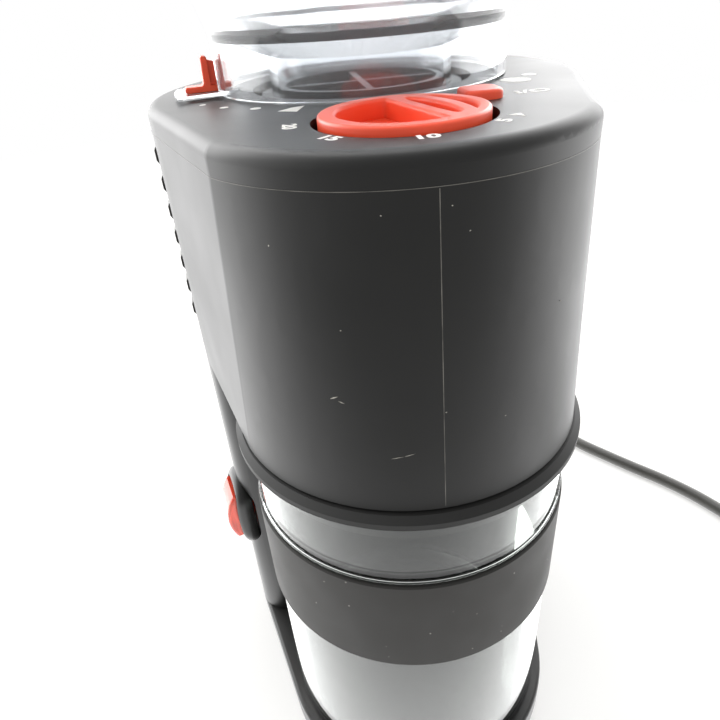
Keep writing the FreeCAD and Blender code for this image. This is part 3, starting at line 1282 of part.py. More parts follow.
def route_tube(points):
    """A tube along straight runs joined by tangent arcs, as large as the runs allow."""
    edges = []
    here = points[0]
    radii = []
    for before, corner, after in zip(points, points[1:], points[2:]):
        a, b = corner - before, after - corner
        run = min(a.Length, b.Length)
        turn = a.getAngle(b)
        reach = 0.45 * run
        radii.append(reach / math.tan(turn / 2))
        a.normalize()
        b.normalize()
        start, end = corner - a * reach, corner + b * reach
        centre = start + (b - a * a.dot(b)).normalize() * radii[-1]
        middle = centre + (corner - centre).normalize() * radii[-1]
        edges.append(Part.LineSegment(here, start).toShape())
        edges.append(Part.Arc(start, middle, end).toShape())
        here = end
    edges.append(Part.LineSegment(here, points[-1]).toShape())
    spine = Part.Wire(edges)
    way = (points[1] - points[0]).normalize()
    ring = Part.Wire([Part.Circle(points[0], way, cord_r).toShape()])
    tube = spine.makePipeShell([ring], True, False)
    full = math.pi * cord_r ** 2 * spine.Length
    print("lead %.0f mm, volume share %.4f, radii %s" % (
        spine.Length, tube.Volume / full, " ".join("%.0f" % r for r in radii)))
    return tube


coil_in = coil_spine.Edges[0].valueAt(coil_spine.Edges[0].FirstParameter)
coil_way = coil_spine.Edges[0].tangentAt(coil_spine.Edges[0].FirstParameter)
LEAD = [
    (61.2, 113.4, 4.9), (74.8, 116.8, 3.9), (88.6, 114.7, 3.1), (101.3, 106.8, 2.9),
    (111.8, 92.2, 2.9), (120.2, 75.2, 2.9), (129.0, 63.6, 2.9), (139.0, 50.6, 2.9),
    (149.5, 38.2, 2.9), (159.0, 24.0, 2.9), (166.5, 7.5, 3.0),
]
lead_points = [relief_end, relief_end + lead_way * 14]
lead_points += [Vec(*spot) for spot in LEAD] + [coil_in - coil_way * 14, coil_in]
node(shaped(route_tube(lead_points)), "mains_lead")

coil_out = coil_spine.Edges[-1].valueAt(coil_spine.Edges[-1].LastParameter)
out_way = coil_spine.Edges[-1].tangentAt(coil_spine.Edges[-1].LastParameter)
plug_z = 7.0
tail = [coil_out, coil_out + out_way * 12]
side_way = Vec(-out_way.y, out_way.x, 0)
tail.append(Vec(tail[-1].x, tail[-1].y, plug_z) + out_way * 13 + side_way * 3)
tail.append(tail[-1] + out_way * 12 + side_way * 4.6)
node(shaped(route_tube(tail)), "lead_tail")
plug_way = (tail[-1] - tail[-2])
plug_way.z = 0
plug_way.normalize()

# Flat two pin plug with a tapered neck.
plug_frame = FreeCAD.Placement(
    tail[-1], FreeCAD.Rotation(Vec(-plug_way.y, plug_way.x, 0), Vec(0, 0, 1), plug_way, "ZXY"))


def plug_section(along, wide, thick, corner):
    plain = Part.makeBox(wide, thick, 1, Vec(-wide / 2, -thick / 2, along))
    sides = [e for e in plain.Edges if e.BoundBox.ZLength > 0.5]
    solid = plain.makeFillet(corner, sides)
    face = [f for f in solid.Faces if abs(f.CenterOfMass.z - along) < 1e-6][0]
    return face.OuterWire


plug_rows = ((0.0, 8.6, 8.0, 3.6), (10.0, 12.0, 9.5, 4.0), (20.0, 25.0, 13.0, 5.0), (34.0, 35.0, 13.6, 5.0))
sections = [plug_section(a * val("plug_long") / 34, w, t, c) for a, w, t, c in plug_rows]
plug_body = Part.makeLoft(sections, True, True)
plug_body.Placement = plug_frame
node(shaped(plug_body), "plug")
pins = []
for side in (-1, 1):
    pin = Part.makeCylinder(2.0, val("pin_long"), Vec(side * val("pin_gap") / 2, 0, val("plug_long")))
    tip = [e for e in pin.Edges if lies_at(e, val("plug_long + pin_long"))]
    pins.append(pin.makeFillet(1.2, tip))
pins = Part.makeCompound(pins)
pins.Placement = plug_frame
node(shaped(pins), "plug_pins")

# Tie: a flat strap round both layers of the coil.
tie_in = coil_step * swing / 2 + cord_r + 0.3
tie_angle = 20
tie = Part.makeBox(2 * tie_in + 1.2, 9, coil_step + 2 * cord_r + 2, Vec(coil_r - tie_in - 0.6, -4.5, 0))
tie_room = Part.makeBox(
    2 * tie_in, 9, coil_step + 2 * cord_r + 0.5, Vec(coil_r - tie_in, -4.5, val("coil_lift") - 0.05))
tie = tie.cut(tie_room)
tie.rotate(Vec(0, 0, 0), Vec(0, 0, 1), tie_angle)
tie.translate(coil_place)
node(shaped(tie), "coil_tie")

doc.recompute()
bad = [o.Label for o in doc.Objects if "Invalid" in o.State or "Error" in o.State]
if bad:
    raise RuntimeError("features that failed: " + ", ".join(bad))
os.makedirs("parts", exist_ok=True)
for piece in NODES:
    shape = piece.Shape
    if shape.isNull() or not shape.isValid() or not shape.Solids:
        raise RuntimeError("bad shape: " + piece.Label)
    shape.exportStep(os.path.join("parts", piece.Label + ".step"))
print("wrote %d pieces" % len(NODES))
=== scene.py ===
# %% [markdown]
# # A coffee grinder with a glass jar, dressed in Blender
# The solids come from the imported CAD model, one object for each real piece. This lesson
# adds the camera, the light, the mains lead, the printed marks, the fine seams and a
# finish for every piece. All lengths are metres, and up is +Z.

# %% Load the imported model
import math

import bmesh
import bpy
from mathutils import Matrix, Vector


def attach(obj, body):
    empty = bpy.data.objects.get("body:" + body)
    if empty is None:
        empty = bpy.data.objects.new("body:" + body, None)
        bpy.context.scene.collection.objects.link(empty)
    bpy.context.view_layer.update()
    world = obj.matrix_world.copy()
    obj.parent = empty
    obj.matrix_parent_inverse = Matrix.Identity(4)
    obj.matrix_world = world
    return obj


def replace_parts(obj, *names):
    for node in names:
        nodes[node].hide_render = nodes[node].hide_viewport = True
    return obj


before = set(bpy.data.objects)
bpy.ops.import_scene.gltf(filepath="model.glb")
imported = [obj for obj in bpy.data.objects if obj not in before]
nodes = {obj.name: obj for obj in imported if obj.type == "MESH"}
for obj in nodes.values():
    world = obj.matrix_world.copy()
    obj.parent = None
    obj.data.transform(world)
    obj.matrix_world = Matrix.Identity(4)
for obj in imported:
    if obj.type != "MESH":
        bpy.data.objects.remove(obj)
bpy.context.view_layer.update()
mm = 0.001
print("CAD pieces:", len(nodes))

# %% [markdown]
# ## Camera
# The photograph looks down on the grinder from just left of its front, close up with a
# wide lens. The circles of dial, lid and jar gave the place and turn of the camera. A
# camera looks along its own -Z, so its matrix holds the right, up and backward
# directions as columns.

# %% Camera
right = Vector((0.98717, -0.14348, -0.07010))
up = Vector((0.13544, 0.51977, 0.84350))
forward = Vector((0.08459, 0.84217, -0.53253))
camera_data = bpy.data.cameras.new("photo_camera")
camera_data.sensor_fit = "HORIZONTAL"
camera_data.sensor_width = 36.0
camera_data.lens = 29.87
camera_data.clip_start = 0.01
camera = bpy.data.objects.new("photo_camera", camera_data)
turn = Matrix((right, up, -forward)).transposed().to_4x4()
camera.matrix_world = Matrix.Translation((-0.02607, -0.17088, 0.23456)) @ turn
bpy.context.scene.collection.objects.link(camera)
bpy.context.scene.camera = camera
print("lens", camera_data.lens, "mm")

# %% [markdown]
# ## Small helpers
# A shared piece of code is written once. `sRGB` turns the colour that a screen shows
# into the linear numbers that a shader works with, `add_node` puts one node with its
# settings and links into a material, and `piece` gives a mesh a name, a body to ride on
# and a finish.

# %% Helpers
def srgb(text):
    """A colour such as #3a3a38 as linear red, green, blue and a full alpha."""
    parts = [int(text[i:i + 2], 16) / 255 for i in (1, 3, 5)]
    low = [p / 12.92 if p <= 0.04045 else ((p + 0.055) / 1.055) ** 2.4 for p in parts]
    return (*low, 1.0)


def add_node(tree, kind, settings=None, links=None):
    """One node with its settings and links, by socket name, number or property."""
    node = tree.nodes.new(kind)
    for name, value in (settings or {}).items():
        if isinstance(name, int) or name in node.inputs:
            node.inputs[name].default_value = value
        else:
            setattr(node, name, value)
    for name, source in (links or {}).items():
        tree.links.new(source, node.inputs[name])
    return node


def new_material(name, **settings):
    """An empty material with a shader whose constant sockets are set by name."""
    material = bpy.data.materials.new(name)
    material.use_nodes = True
    tree = material.node_tree
    tree.nodes.clear()
    shader = add_node(tree, "ShaderNodeBsdfPrincipled")
    for socket, value in settings.items():
        shader.inputs[socket.replace("_", " ")].default_value = value
    add_node(tree, "ShaderNodeOutputMaterial", links={"Surface": shader.outputs[0]})
    place = add_node(tree, "ShaderNodeTexCoord").outputs["Object"]
    return material, tree, shader, place


# %% [markdown]
# Moulded plastic is never one flat colour. `grain` gives a finish three things: a colour
# that drifts a little between two hex values, a roughness that drifts with it, and a
# bump from the mould's texture. Its sizes are real, in millimetres.

# %% Grain of a moulded surface
def grain(tree, shader, place, dark, light, rough, size, depth, drift=25.0):
    """Colour and roughness drift over `drift` mm, and bumps of `size` mm, `depth` mm deep."""
    wide = add_node(tree, "ShaderNodeTexNoise", {"Scale": 1000 / drift, "Detail": 3.0},
                    {"Vector": place})
    ramp = add_node(tree, "ShaderNodeValToRGB", links={"Fac": wide.outputs["Fac"]})
    ramp.color_ramp.elements[0].position = 0.3
    ramp.color_ramp.elements[1].position = 0.7
    ramp.color_ramp.elements[0].color = srgb(dark)
    ramp.color_ramp.elements[1].color = srgb(light)
    tree.links.new(ramp.outputs["Color"], shader.inputs["Base Color"])
    span = add_node(tree, "ShaderNodeMapRange",
                    {"From Min": 0.3, "From Max": 0.7, "To Min": rough[0], "To Max": rough[1]},
                    {"Value": wide.outputs["Fac"]})
    tree.links.new(span.outputs["Result"], shader.inputs["Roughness"])
    fine = add_node(tree, "ShaderNodeTexNoise", {"Scale": 1000 / size, "Detail": 2.0},
                    {"Vector": place})
    bump = add_node(tree, "ShaderNodeBump", {"Strength": 1.0, "Distance": depth * mm},
                    {"Height": fine.outputs["Fac"]})
    tree.links.new(bump.outputs["Normal"], shader.inputs["Normal"])
    return ramp, bump


# %% [markdown]
# ## Floor, backdrop and light
# The photograph is overexposed around the grinder, so floor and background are white to
# the camera. The floor still takes the object's shadow: it is a pale matt surface with
# a share of plain glow, and the share grows with distance, so no horizon shows. Black
# plastic is mostly what it mirrors. The head's front is dark and its sides are pale, so
# what mirror rays meet is dim in front of the grinder and bright beside and behind it.

# %% Floor
def stage_floor():
    """A wide round floor, just under the rubber feet."""
    mesh = bmesh.new()
    bmesh.ops.create_circle(mesh, cap_ends=True, segments=64, radius=4.0)
    data = bpy.data.meshes.new("studio_floor")
    mesh.to_mesh(data)
    floor = bpy.data.objects.new("studio_floor", data)
    floor.location.z = -0.0002
    bpy.context.scene.collection.objects.link(floor)
    material = bpy.data.materials.new("white_studio_paper")
    material.use_nodes = True
    tree = material.node_tree
    tree.nodes.clear()
    place = add_node(tree, "ShaderNodeTexCoord").outputs["Object"]
    fibre = add_node(tree, "ShaderNodeTexNoise", {"Scale": 600.0}, {"Vector": place})
    bump = add_node(tree, "ShaderNodeBump", {"Distance": 0.02 * mm},
                    {"Height": fibre.outputs["Fac"]})
    matt = add_node(tree, "ShaderNodeBsdfDiffuse", {"Color": srgb("#f6f5f2")},
                    {"Normal": bump.outputs["Normal"]})
    ray = add_node(tree, "ShaderNodeLightPath")
    spot = add_node(tree, "ShaderNodeSeparateXYZ", links={0: place})
    beside = add_node(tree, "ShaderNodeMath", {"operation": "MAXIMUM", 1: 0.0}, {0: spot.outputs["X"]})
    along = add_node(tree, "ShaderNodeMath", {"operation": "MULTIPLY_ADD", 1: 0.3},
                     {0: beside.outputs[0], 2: spot.outputs["Y"]})
    mirror = add_node(tree, "ShaderNodeMapRange",
                      {"interpolation_type": "SMOOTHSTEP", "From Min": -0.4, "From Max": 0.2,
                       "To Min": 0.3, "To Max": 3.2}, {"Value": along.outputs[0]})
    strength = add_node(tree, "ShaderNodeMix", {"data_type": "FLOAT", "A": 1.0},
                        {"Factor": ray.outputs["Is Glossy Ray"], "B": mirror.outputs["Result"]})
    glow = add_node(tree, "ShaderNodeEmission", {"Color": (1.0, 1.0, 1.0, 1.0)},
                    {"Strength": strength.outputs["Result"]})
    seen = add_node(tree, "ShaderNodeMath", {"operation": "MAXIMUM"},
                    {0: ray.outputs["Is Camera Ray"], 1: ray.outputs["Is Transmission Ray"]})
    far = add_node(tree, "ShaderNodeVectorMath", {"operation": "LENGTH"}, {0: place})
    share = add_node(tree, "ShaderNodeMapRange",
                     {"From Min": 0.3, "From Max": 1.2, "To Min": 0.45, "To Max": 1.0},
                     {"Value": far.outputs["Value"]})
    share = add_node(tree, "ShaderNodeMath", {"operation": "MULTIPLY"},
                     {0: seen.outputs[0], 1: share.outputs["Result"]})
    share = add_node(tree, "ShaderNodeMath", {"operation": "MAXIMUM"},
                     {0: share.outputs[0], 1: ray.outputs["Is Glossy Ray"]})
    both = add_node(tree, "ShaderNodeMixShader",
                    links={0: share.outputs[0], 1: matt.outputs[0], 2: glow.outputs[0]})
    add_node(tree, "ShaderNodeOutputMaterial", links={"Surface": both.outputs[0]})
    data.materials.append(material)
    return floor


floor = stage_floor()
print("floor radius 4 m")


# %% World and lamps
def studio_world():
    """White all round, and for mirror rays dimmer in front."""
    world = bpy.data.worlds.new("bright_studio")
    bpy.context.scene.world = world
    world.use_nodes = True
    tree = world.node_tree
    tree.nodes.clear()
    way = add_node(tree, "ShaderNodeTexCoord").outputs["Generated"]
    front = add_node(tree, "ShaderNodeVectorMath", {"operation": "DOT_PRODUCT", 1: (0.25, -0.92, 0.3)},
                     {0: way})
    level = add_node(tree, "ShaderNodeMapRange",
                     {"interpolation_type": "SMOOTHSTEP", "From Min": -0.6, "From Max": 0.8,
                      "To Min": 2.4, "To Max": 0.4}, {"Value": front.outputs["Value"]})
    ray = add_node(tree, "ShaderNodeLightPath")
    strength = add_node(tree, "ShaderNodeMix", {"data_type": "FLOAT", "A": 1.0},
                        {"Factor": ray.outputs["Is Glossy Ray"], "B": level.outputs["Result"]})
    glow = add_node(tree, "ShaderNodeBackground", {"Color": (1.0, 1.0, 1.0, 1.0)},
                    {"Strength": strength.outputs["Result"]})
    add_node(tree, "ShaderNodeOutputWorld", links={"Surface": glow.outputs[0]})


def soft_lamp(name, spot, aim, size, watts):
    """A square softbox that looks at a point."""
    data = bpy.data.lights.new(name, "AREA")
    data.shape = "SQUARE"
    data.size = size
    data.energy = watts
    lamp = bpy.data.objects.new(name, data)
    lamp.location = spot
    lamp.rotation_euler = (Vector(aim) - Vector(spot)).to_track_quat("-Z", "Y").to_euler()
    bpy.context.scene.collection.objects.link(lamp)
    return lamp


studio_world()
middle = (0.0, 0.0, 0.14)
soft_lamp("window_left", (-1.0, 0.9, 0.7), (-0.2, 0.3, 0.0), 1.2, 16.0)
soft_lamp("window_right", (0.9, 1.0, 0.6), (0.2, 0.3, 0.0), 1.0, 10.0)
soft_lamp("ceiling", (0.0, 0.5, 1.4), middle, 1.0, 8.0)
print("lamps: 3")

# %% [markdown]
# ## The mains lead
# The lead leaves the plinth through its strain relief at the back right, drops to the
# table and runs in a loose curve to the front right, out of the picture. The rest is put
# away in a neat coil. A free cord is one smooth spline: the route's points come from the
# CAD source, and the coil's turns are more points of the same spline. The thickness is
# set as the points' own radius, because Blender also takes the curve's box from it.

# %% Route of the lead
lead_way = Vector((math.cos(math.radians(60)), math.sin(math.radians(60)), 0.0))
lead_exit = Vector((0.0, 18.5, 5.6)) + lead_way * (61.0 + 26.0)
LEAD = [
    (61.2, 113.4, 4.9), (74.8, 116.8, 3.9), (88.6, 114.7, 3.1), (101.3, 106.8, 2.9),
    (111.8, 92.2, 2.9), (120.2, 75.2, 2.9), (129.0, 63.6, 2.9), (139.0, 50.6, 2.9),
    (149.5, 38.2, 2.9), (159.0, 24.0, 2.9), (166.5, 7.5, 3.0),
]
COIL_R, COIL_STEP, COIL_LOW, COIL_TURNS = 32.0, 6.4, 3.7, 3.0
coil_middle = Vector((212.0, -8.0, 0.0))


def coil_point(count):
    """A point of the coil, so many turns in: inward below, up a layer, outward on top."""
    swing = COIL_TURNS / 2
    wide = COIL_R + COIL_STEP * swing / 2
    from_middle = abs(count - swing)
    bend = from_middle if from_middle > 0.12 else (0.12 ** 2 + from_middle ** 2) / 0.24
    radius = wide - COIL_STEP * swing + COIL_STEP * bend
    rise = min(max((count - swing + 0.25) / 0.5, 0.0), 1.0)
    rise = rise * rise * (3 - 2 * rise)
    angle = math.radians(204) + 2 * math.pi * count
    flat = Vector((math.cos(angle), math.sin(angle), 0.0)) * radius
    return coil_middle + flat + Vector((0.0, 0.0, COIL_LOW + COIL_STEP * 0.98 * rise))


def along_coil(count):
    """The direction of the coil at a turn."""
    return (coil_point(count + 1e-4) - coil_point(count - 1e-4)).normalized()


coil_in = coil_point(0) - along_coil(0) * 5.8
coil_out = coil_point(COIL_TURNS) + along_coil(COIL_TURNS) * 5.8
out_way = along_coil(COIL_TURNS)
side_way = Vector((-out_way.y, out_way.x, 0.0))
route = [lead_exit, lead_exit + lead_way * 14] + [Vector(spot) for spot in LEAD]
route += [coil_in - along_coil(0) * 14, coil_in]
route += [coil_point(i / 16) for i in range(int(COIL_TURNS) * 16 + 1)]
tail = [coil_out, coil_out + out_way * 12]
tail.append(Vector((tail[1].x, tail[1].y, 7.0)) + out_way * 13 + side_way * 3)
tail.append(tail[-1] + out_way * 12 + side_way * 4.6)
route += tail
print("points on the lead:", len(route))


# %% Lead as one smooth curve
def smooth_cord(name, points, radius):
    """A NURBS curve through the neighbourhood of its points, as thick as the cord."""
    data = bpy.data.curves.new(name, "CURVE")
    data.dimensions = "3D"
    spline = data.splines.new("NURBS")
    spline.points.add(len(points) - 1)
    for knot, spot in zip(spline.points, points):
        knot.co = (*(spot * mm), 1.0)
        knot.radius = radius * mm
    spline.order_u = 3
    spline.use_endpoint_u = True
    data.resolution_u = 8
    data.bevel_depth = 1.0
    data.bevel_resolution = 5
    data.use_fill_caps = True
    cord = bpy.data.objects.new(name, data)
    bpy.context.scene.collection.objects.link(cord)
    return cord


mains_cord = smooth_cord("mains_cord", route, 2.9)
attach(mains_cord, "housing")
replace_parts(mains_cord, "mains_lead", "cord_coil", "lead_tail")
print("cord made")

# %% [markdown]
# ## Finishes
# Each finish starts from what the real one is. The housing is black ABS from a mould
# with a spark-eroded texture: matt, with fine grains, and it turns pale where the light
# grazes it. Its real grains are about 0.1 mm, and are drawn 0.35 mm wide here so that
# they show.

# %% Housing plastic
housing_abs, tree, shader, place = new_material(
    "textured_black_ABS", IOR=1.53, Specular_IOR_Level=0.5)
grain(tree, shader, place, "#141413", "#181817", (0.4, 0.47), 0.3, 0.007, drift=40)

# %% [markdown]
# Small black parts are ABS or nylon from a polished mould: smoother and a little
# shinier than the housing. The band round the jar is silicone rubber, dull, a shade
# lighter, and dusty, because silicone holds every speck. The grip is soft-touch TPE in
# the housing's black. Its lighter grey is painted glare: the pale sheen that grazing
# light leaves on its ribs.

# %% Satin plastic and silicone rubber
satin_abs, tree, shader, place = new_material("satin_black_ABS", IOR=1.53)
grain(tree, shader, place, "#1b1b1a", "#202020", (0.32, 0.4), 0.5, 0.008)

silicone, tree, shader, place = new_material(
    "dusty_silicone_rubber", IOR=1.41, Sheen_Weight=0.12, Sheen_Roughness=0.5)
ramp, bump = grain(tree, shader, place, "#252422", "#2b2a28", (0.62, 0.75), 0.4, 0.02, drift=15)
# Specks of dust: cells 3 mm wide, and only the middle of a few of them is pale.
cells = add_node(tree, "ShaderNodeTexVoronoi", {"Scale": 1000 / 3.0}, {"Vector": place})
near = add_node(tree, "ShaderNodeMath", {"operation": "LESS_THAN", 1: 0.075},
                {0: cells.outputs["Distance"]})
pick = add_node(tree, "ShaderNodeSeparateColor", links={"Color": cells.outputs["Color"]})
some = add_node(tree, "ShaderNodeMath", {"operation": "GREATER_THAN", 1: 0.62},
                {0: pick.outputs["Red"]})
speck = add_node(tree, "ShaderNodeMath", {"operation": "MULTIPLY"},
                 {0: near.outputs[0], 1: some.outputs[0]})
dust = add_node(tree, "ShaderNodeMix", {"data_type": "RGBA", 7: srgb("#8d8a84")},
                {0: speck.outputs[0], 6: ramp.outputs["Color"]})
tree.links.new(dust.outputs[2], shader.inputs["Base Color"])

rubber, tree, shader, place = new_material("moulded_black_rubber", IOR=1.45, Sheen_Weight=0.1)
grain(tree, shader, place, "#2a2a28", "#31302e", (0.6, 0.72), 0.4, 0.02)
matt_pp, tree, shader, place = new_material("matt_black_polypropylene", IOR=1.49)
grain(tree, shader, place, "#1c1c1b", "#222221", (0.55, 0.65), 0.4, 0.01)
# The grip's grey, lighter than the housing's black, is painted glare: the pale sheen that grazing light
# leaves on its ribs.
grip_tpe_painted_glare, tree, shader, place = new_material("soft_touch_TPE_painted_glare", IOR=1.5, Sheen_Weight=0.2)
grain(tree, shader, place, "#2a2927", "#302f2d", (0.42, 0.52), 0.4, 0.012)
print("plastics:", housing_abs.name, satin_abs.name, silicone.name, rubber.name)

# %% [markdown]
# Dial, start button and pointer are orange-red ABS with a satin skin. The rocker of the
# power switch is translucent polycarbonate over a lamp, so light passes into it and its
# edges look pale.

# %% Orange ABS and the translucent rocker
orange_abs, tree, shader, place = new_material(
    "satin_orange_red_ABS", IOR=1.53, Subsurface_Weight=0.15, Subsurface_Scale=0.002,
    Subsurface_Radius=(1.0, 0.25, 0.1))
grain(tree, shader, place, "#f4502f", "#f85c3b", (0.3, 0.38), 0.6, 0.006, drift=12)

rocker_pc, tree, shader, place = new_material(
    "translucent_red_polycarbonate", IOR=1.58, Transmission_Weight=0.35, Coat_Weight=0.3,
    Subsurface_Weight=0.6, Subsurface_Scale=0.004, Subsurface_Radius=(1.0, 0.3, 0.2))
grain(tree, shader, place, "#f2543c", "#f76a50", (0.15, 0.22), 1.0, 0.004, drift=10)

# %% [markdown]
# The hopper is clear SAN plastic and the jar is soda-lime glass. Both are clear, so what
# the eye gets is bright edges, bent lines behind them and fine marks. A plain clear
# material would look like a computer's idea of glass, so the roughness drifts and the
# moulded plastic is a little wavy.

# %% Clear plastic and glass
clear_san, tree, shader, place = new_material(
    "clear_SAN_plastic", IOR=1.57, Transmission_Weight=0.93, Base_Color=srgb("#f4f6f8"))
wave = add_node(tree, "ShaderNodeTexNoise", {"Scale": 1000 / 18.0, "Detail": 1.0}, {"Vector": place})
haze = add_node(tree, "ShaderNodeMapRange", {"To Min": 0.02, "To Max": 0.09},
                {"Value": wave.outputs["Fac"]})
tree.links.new(haze.outputs["Result"], shader.inputs["Roughness"])
bump = add_node(tree, "ShaderNodeBump", {"Distance": 0.08 * mm}, {"Height": wave.outputs["Fac"]})
tree.links.new(bump.outputs["Normal"], shader.inputs["Normal"])

jar_glass, tree, shader, place = new_material(
    "soda_lime_glass", IOR=1.52, Transmission_Weight=1.0, Base_Color=srgb("#f4f8f5"))
smear = add_node(tree, "ShaderNodeTexNoise", {"Scale": 1000 / 30.0, "Detail": 4.0}, {"Vector": place})
haze = add_node(tree, "ShaderNodeMapRange", {"From Min": 0.45, "From Max": 0.75, "To Max": 0.08},
                {"Value": smear.outputs["Fac"]})
tree.links.new(haze.outputs["Result"], shader.inputs["Roughness"])
bump = add_node(tree, "ShaderNodeBump", {"Distance": 0.03 * mm}, {"Height": smear.outputs["Fac"]})
tree.links.new(bump.outputs["Normal"], shader.inputs["Normal"])
print("clear:", clear_san.name, jar_glass.name)


# %% [markdown]
# Inside are metals and working plastics. They show through the hopper's neck and in
# views from below: turned steel with fine rings, sintered bronze with pores, pressed
# brass, white acetal gears and a green circuit board.

# %% Inner materials
def turned_metal(name, colour_a, colour_b, rough, ring):
    """Metal with fine tool marks: rings so many millimetres apart along the axis."""
    material, tree, shader, place = new_material(name, Metallic=1.0)
    lines = add_node(tree, "ShaderNodeTexWave",
                     {"bands_direction": "Z", "Scale": 314 / ring, "Distortion": 0.6},
                     {"Vector": place})
    ramp, bump = grain(tree, shader, place, colour_a, colour_b, rough, 0.8, 0.004, drift=8)
    tree.links.new(lines.outputs["Fac"], bump.inputs["Height"])
    return material


steel = turned_metal("turned_steel", "#8f9194", "#a5a7aa", (0.28, 0.4), 0.4)
bronze = turned_metal("sintered_bronze", "#8a6a45", "#9c7a52", (0.45, 0.6), 0.8)
brass = turned_metal("pressed_brass", "#b3945a", "#c2a468", (0.22, 0.32), 0.5)
ferrite, tree, shader, place = new_material("sintered_ferrite", IOR=1.8)
grain(tree, shader, place, "#2b2b2e", "#3a3a3e", (0.55, 0.7), 0.6, 0.03)
acetal, tree, shader, place = new_material("white_acetal", IOR=1.48, Subsurface_Weight=0.1,
                                           Subsurface_Scale=0.002)
grain(tree, shader, place, "#d9d6cc", "#e4e1d8", (0.3, 0.4), 0.6, 0.006)
board_lacquer, tree, shader, place = new_material("green_board_lacquer", IOR=1.5, Coat_Weight=0.4)
grain(tree, shader, place, "#0f4a2a", "#1c6a3d", (0.25, 0.35), 1.2, 0.02, drift=4)
vinyl, tree, shader, place = new_material("matt_black_vinyl", IOR=1.52)
grain(tree, shader, place, "#33332f", "#3b3a37", (0.42, 0.52), 0.7, 0.01)
print("inner materials: 7")

# %% [markdown]
# A CAD piece keeps its shape and takes its finish through its material slot. The table
# names the pieces of each finish, so no piece is left plain.

# %% Give every piece its finish
FINISHES = [
    (housing_abs, "base left_shell right_shell top_cover"),
    (matt_pp, "jar_lid"),
    (satin_abs, "bottom_cover head_underside switch_body switch_bezel timer_potentiometer"
                " micro_switch gearbox_housing gearbox_cover burr_chamber outlet_chute burr_holder"
                " adjusting_collar burr_carrier finger_guard guard_cross coil_tie"),
    (silicone, "jar_band"),
    (grip_tpe_painted_glare, "rear_grip"),
    (rubber, "rubber_feet strain_relief plug"),
    (orange_abs, "timer_dial start_button grind_pointer"),
    (rocker_pc, "power_rocker"),
    (clear_san, "hopper hopper_lid hopper_tab"),
    (jar_glass, "glass_jar"),
    (steel, "housing_screws motor_can motor_rotor motor_shaft burr_shaft cone_burr ring_burr"
            " burr_nut idler_gear idler_pin timer_shaft button_spring"),
    (bronze, "motor_bearings lower_bush shaft_bearing"),
    (brass, "motor_pinion plug_pins"),
    (ferrite, "motor_magnets"),
    (acetal, "main_gear"),
    (board_lacquer, "control_board"),
    (vinyl, "mains_lead cord_coil lead_tail"),
]
dressed = set()
for finish, names in FINISHES:
    for name in names.split():
        if name not in nodes:
            continue
        data = nodes[name].data
        data.materials.clear()
        data.materials.append(finish)
        dressed.add(name)
mains_cord.data.materials.append(vinyl)
print("pieces without a finish:", sorted(set(nodes) - dressed))

# %% [markdown]
# ## Printed marks
# The timer's numbers and the grind marks are pad-printed in white ink, a few hundredths
# of a millimetre thick. Flat letters that float over the cover would cast odd shadows,
# so each mark is a very thin solid that lies on the cover. The ink is a little uneven.

# %% White ink
print_ink, tree, shader, place = new_material("white_pad_print", IOR=1.5)
grain(tree, shader, place, "#f1efe9", "#fbfaf6", (0.5, 0.6), 0.3, 0.008, drift=3)
TOP = 210.8
JAR = Vector((0.0, -30.5, 0.0))
BURR = Vector((0.0, 18.5, 0.0))


def add_piece(mesh, name, body, finish):
    """A mesh as a named piece that rides on a body."""
    data = bpy.data.meshes.new(name)
    mesh.to_mesh(data)
    mesh.free()
    made = bpy.data.objects.new(name, data)
    bpy.context.scene.collection.objects.link(made)
    data.materials.append(finish)
    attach(made, body)
    return made


def as_mesh(drawn, body):
    """A text or a curve turned into a mesh piece of the same name and place."""
    name, place, source = drawn.name, drawn.matrix_world.copy(), drawn.data
    graph = bpy.context.evaluated_depsgraph_get()
    data = bpy.data.meshes.new_from_object(drawn.evaluated_get(graph))
    bpy.data.objects.remove(drawn)
    bpy.data.curves.remove(source)
    made = bpy.data.objects.new(name, data)
    made.matrix_world = place
    bpy.context.scene.collection.objects.link(made)
    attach(made, body)
    return made


def number_mark(text, x, y, turn, tall):
    """A printed number: its middle in millimetres, its turn in degrees, its height."""
    letters = bpy.data.curves.new("mark_" + text.replace("/", "_"), "FONT")
    letters.body = text
    letters.size = tall * mm / 0.72
    letters.extrude = 0.015 * mm
    letters.align_x = "CENTER"
    letters.align_y = "CENTER"
    letters.offset = 0.17 * mm
    made = bpy.data.objects.new("mark_" + text.replace("/", "_"), letters)
    made.matrix_world = Matrix.Translation(Vector((x, y, TOP + 0.02)) * mm) @ Matrix.Rotation(
        math.radians(turn), 4, "Z") @ Matrix.Diagonal((1.25, 1.0, 1.0, 1.0))
    bpy.context.scene.collection.objects.link(made)
    letters.materials.append(print_ink)
    return as_mesh(made, "housing")


def pill_mark(name, x, y, length, width, turn):
    """A printed dot or bar with round ends, 0.04 mm thick."""
    corners = []
    reach = max(length - width, 0.0) / 2
    for end, start in ((reach, -90), (-reach, 90)):
        for i in range(13):
            a = math.radians(start + 15 * i)
            corners.append((end + math.cos(a) * width / 2, math.sin(a) * width / 2))
    return flat_mark(name, corners, x, y, turn)


def flat_mark(name, corners, x, y, turn):
    """A printed outline as a very thin solid on the cover."""
    mesh = bmesh.new()
    spin = Matrix.Rotation(math.radians(turn), 4, "Z")
    foot = Vector((x, y, TOP + 0.005))
    ring = [mesh.verts.new((foot + spin @ Vector((px, py, 0.0))) * mm) for px, py in corners]
    face = mesh.faces.new(ring)
    lifted = bmesh.ops.extrude_face_region(mesh, geom=[face])
    tops = [v for v in lifted["geom"] if isinstance(v, bmesh.types.BMVert)]
    bmesh.ops.translate(mesh, vec=(0, 0, 0.04 * mm), verts=tops)
    bmesh.ops.recalc_face_normals(mesh, faces=mesh.faces)
    return add_piece(mesh, name, "housing", print_ink)


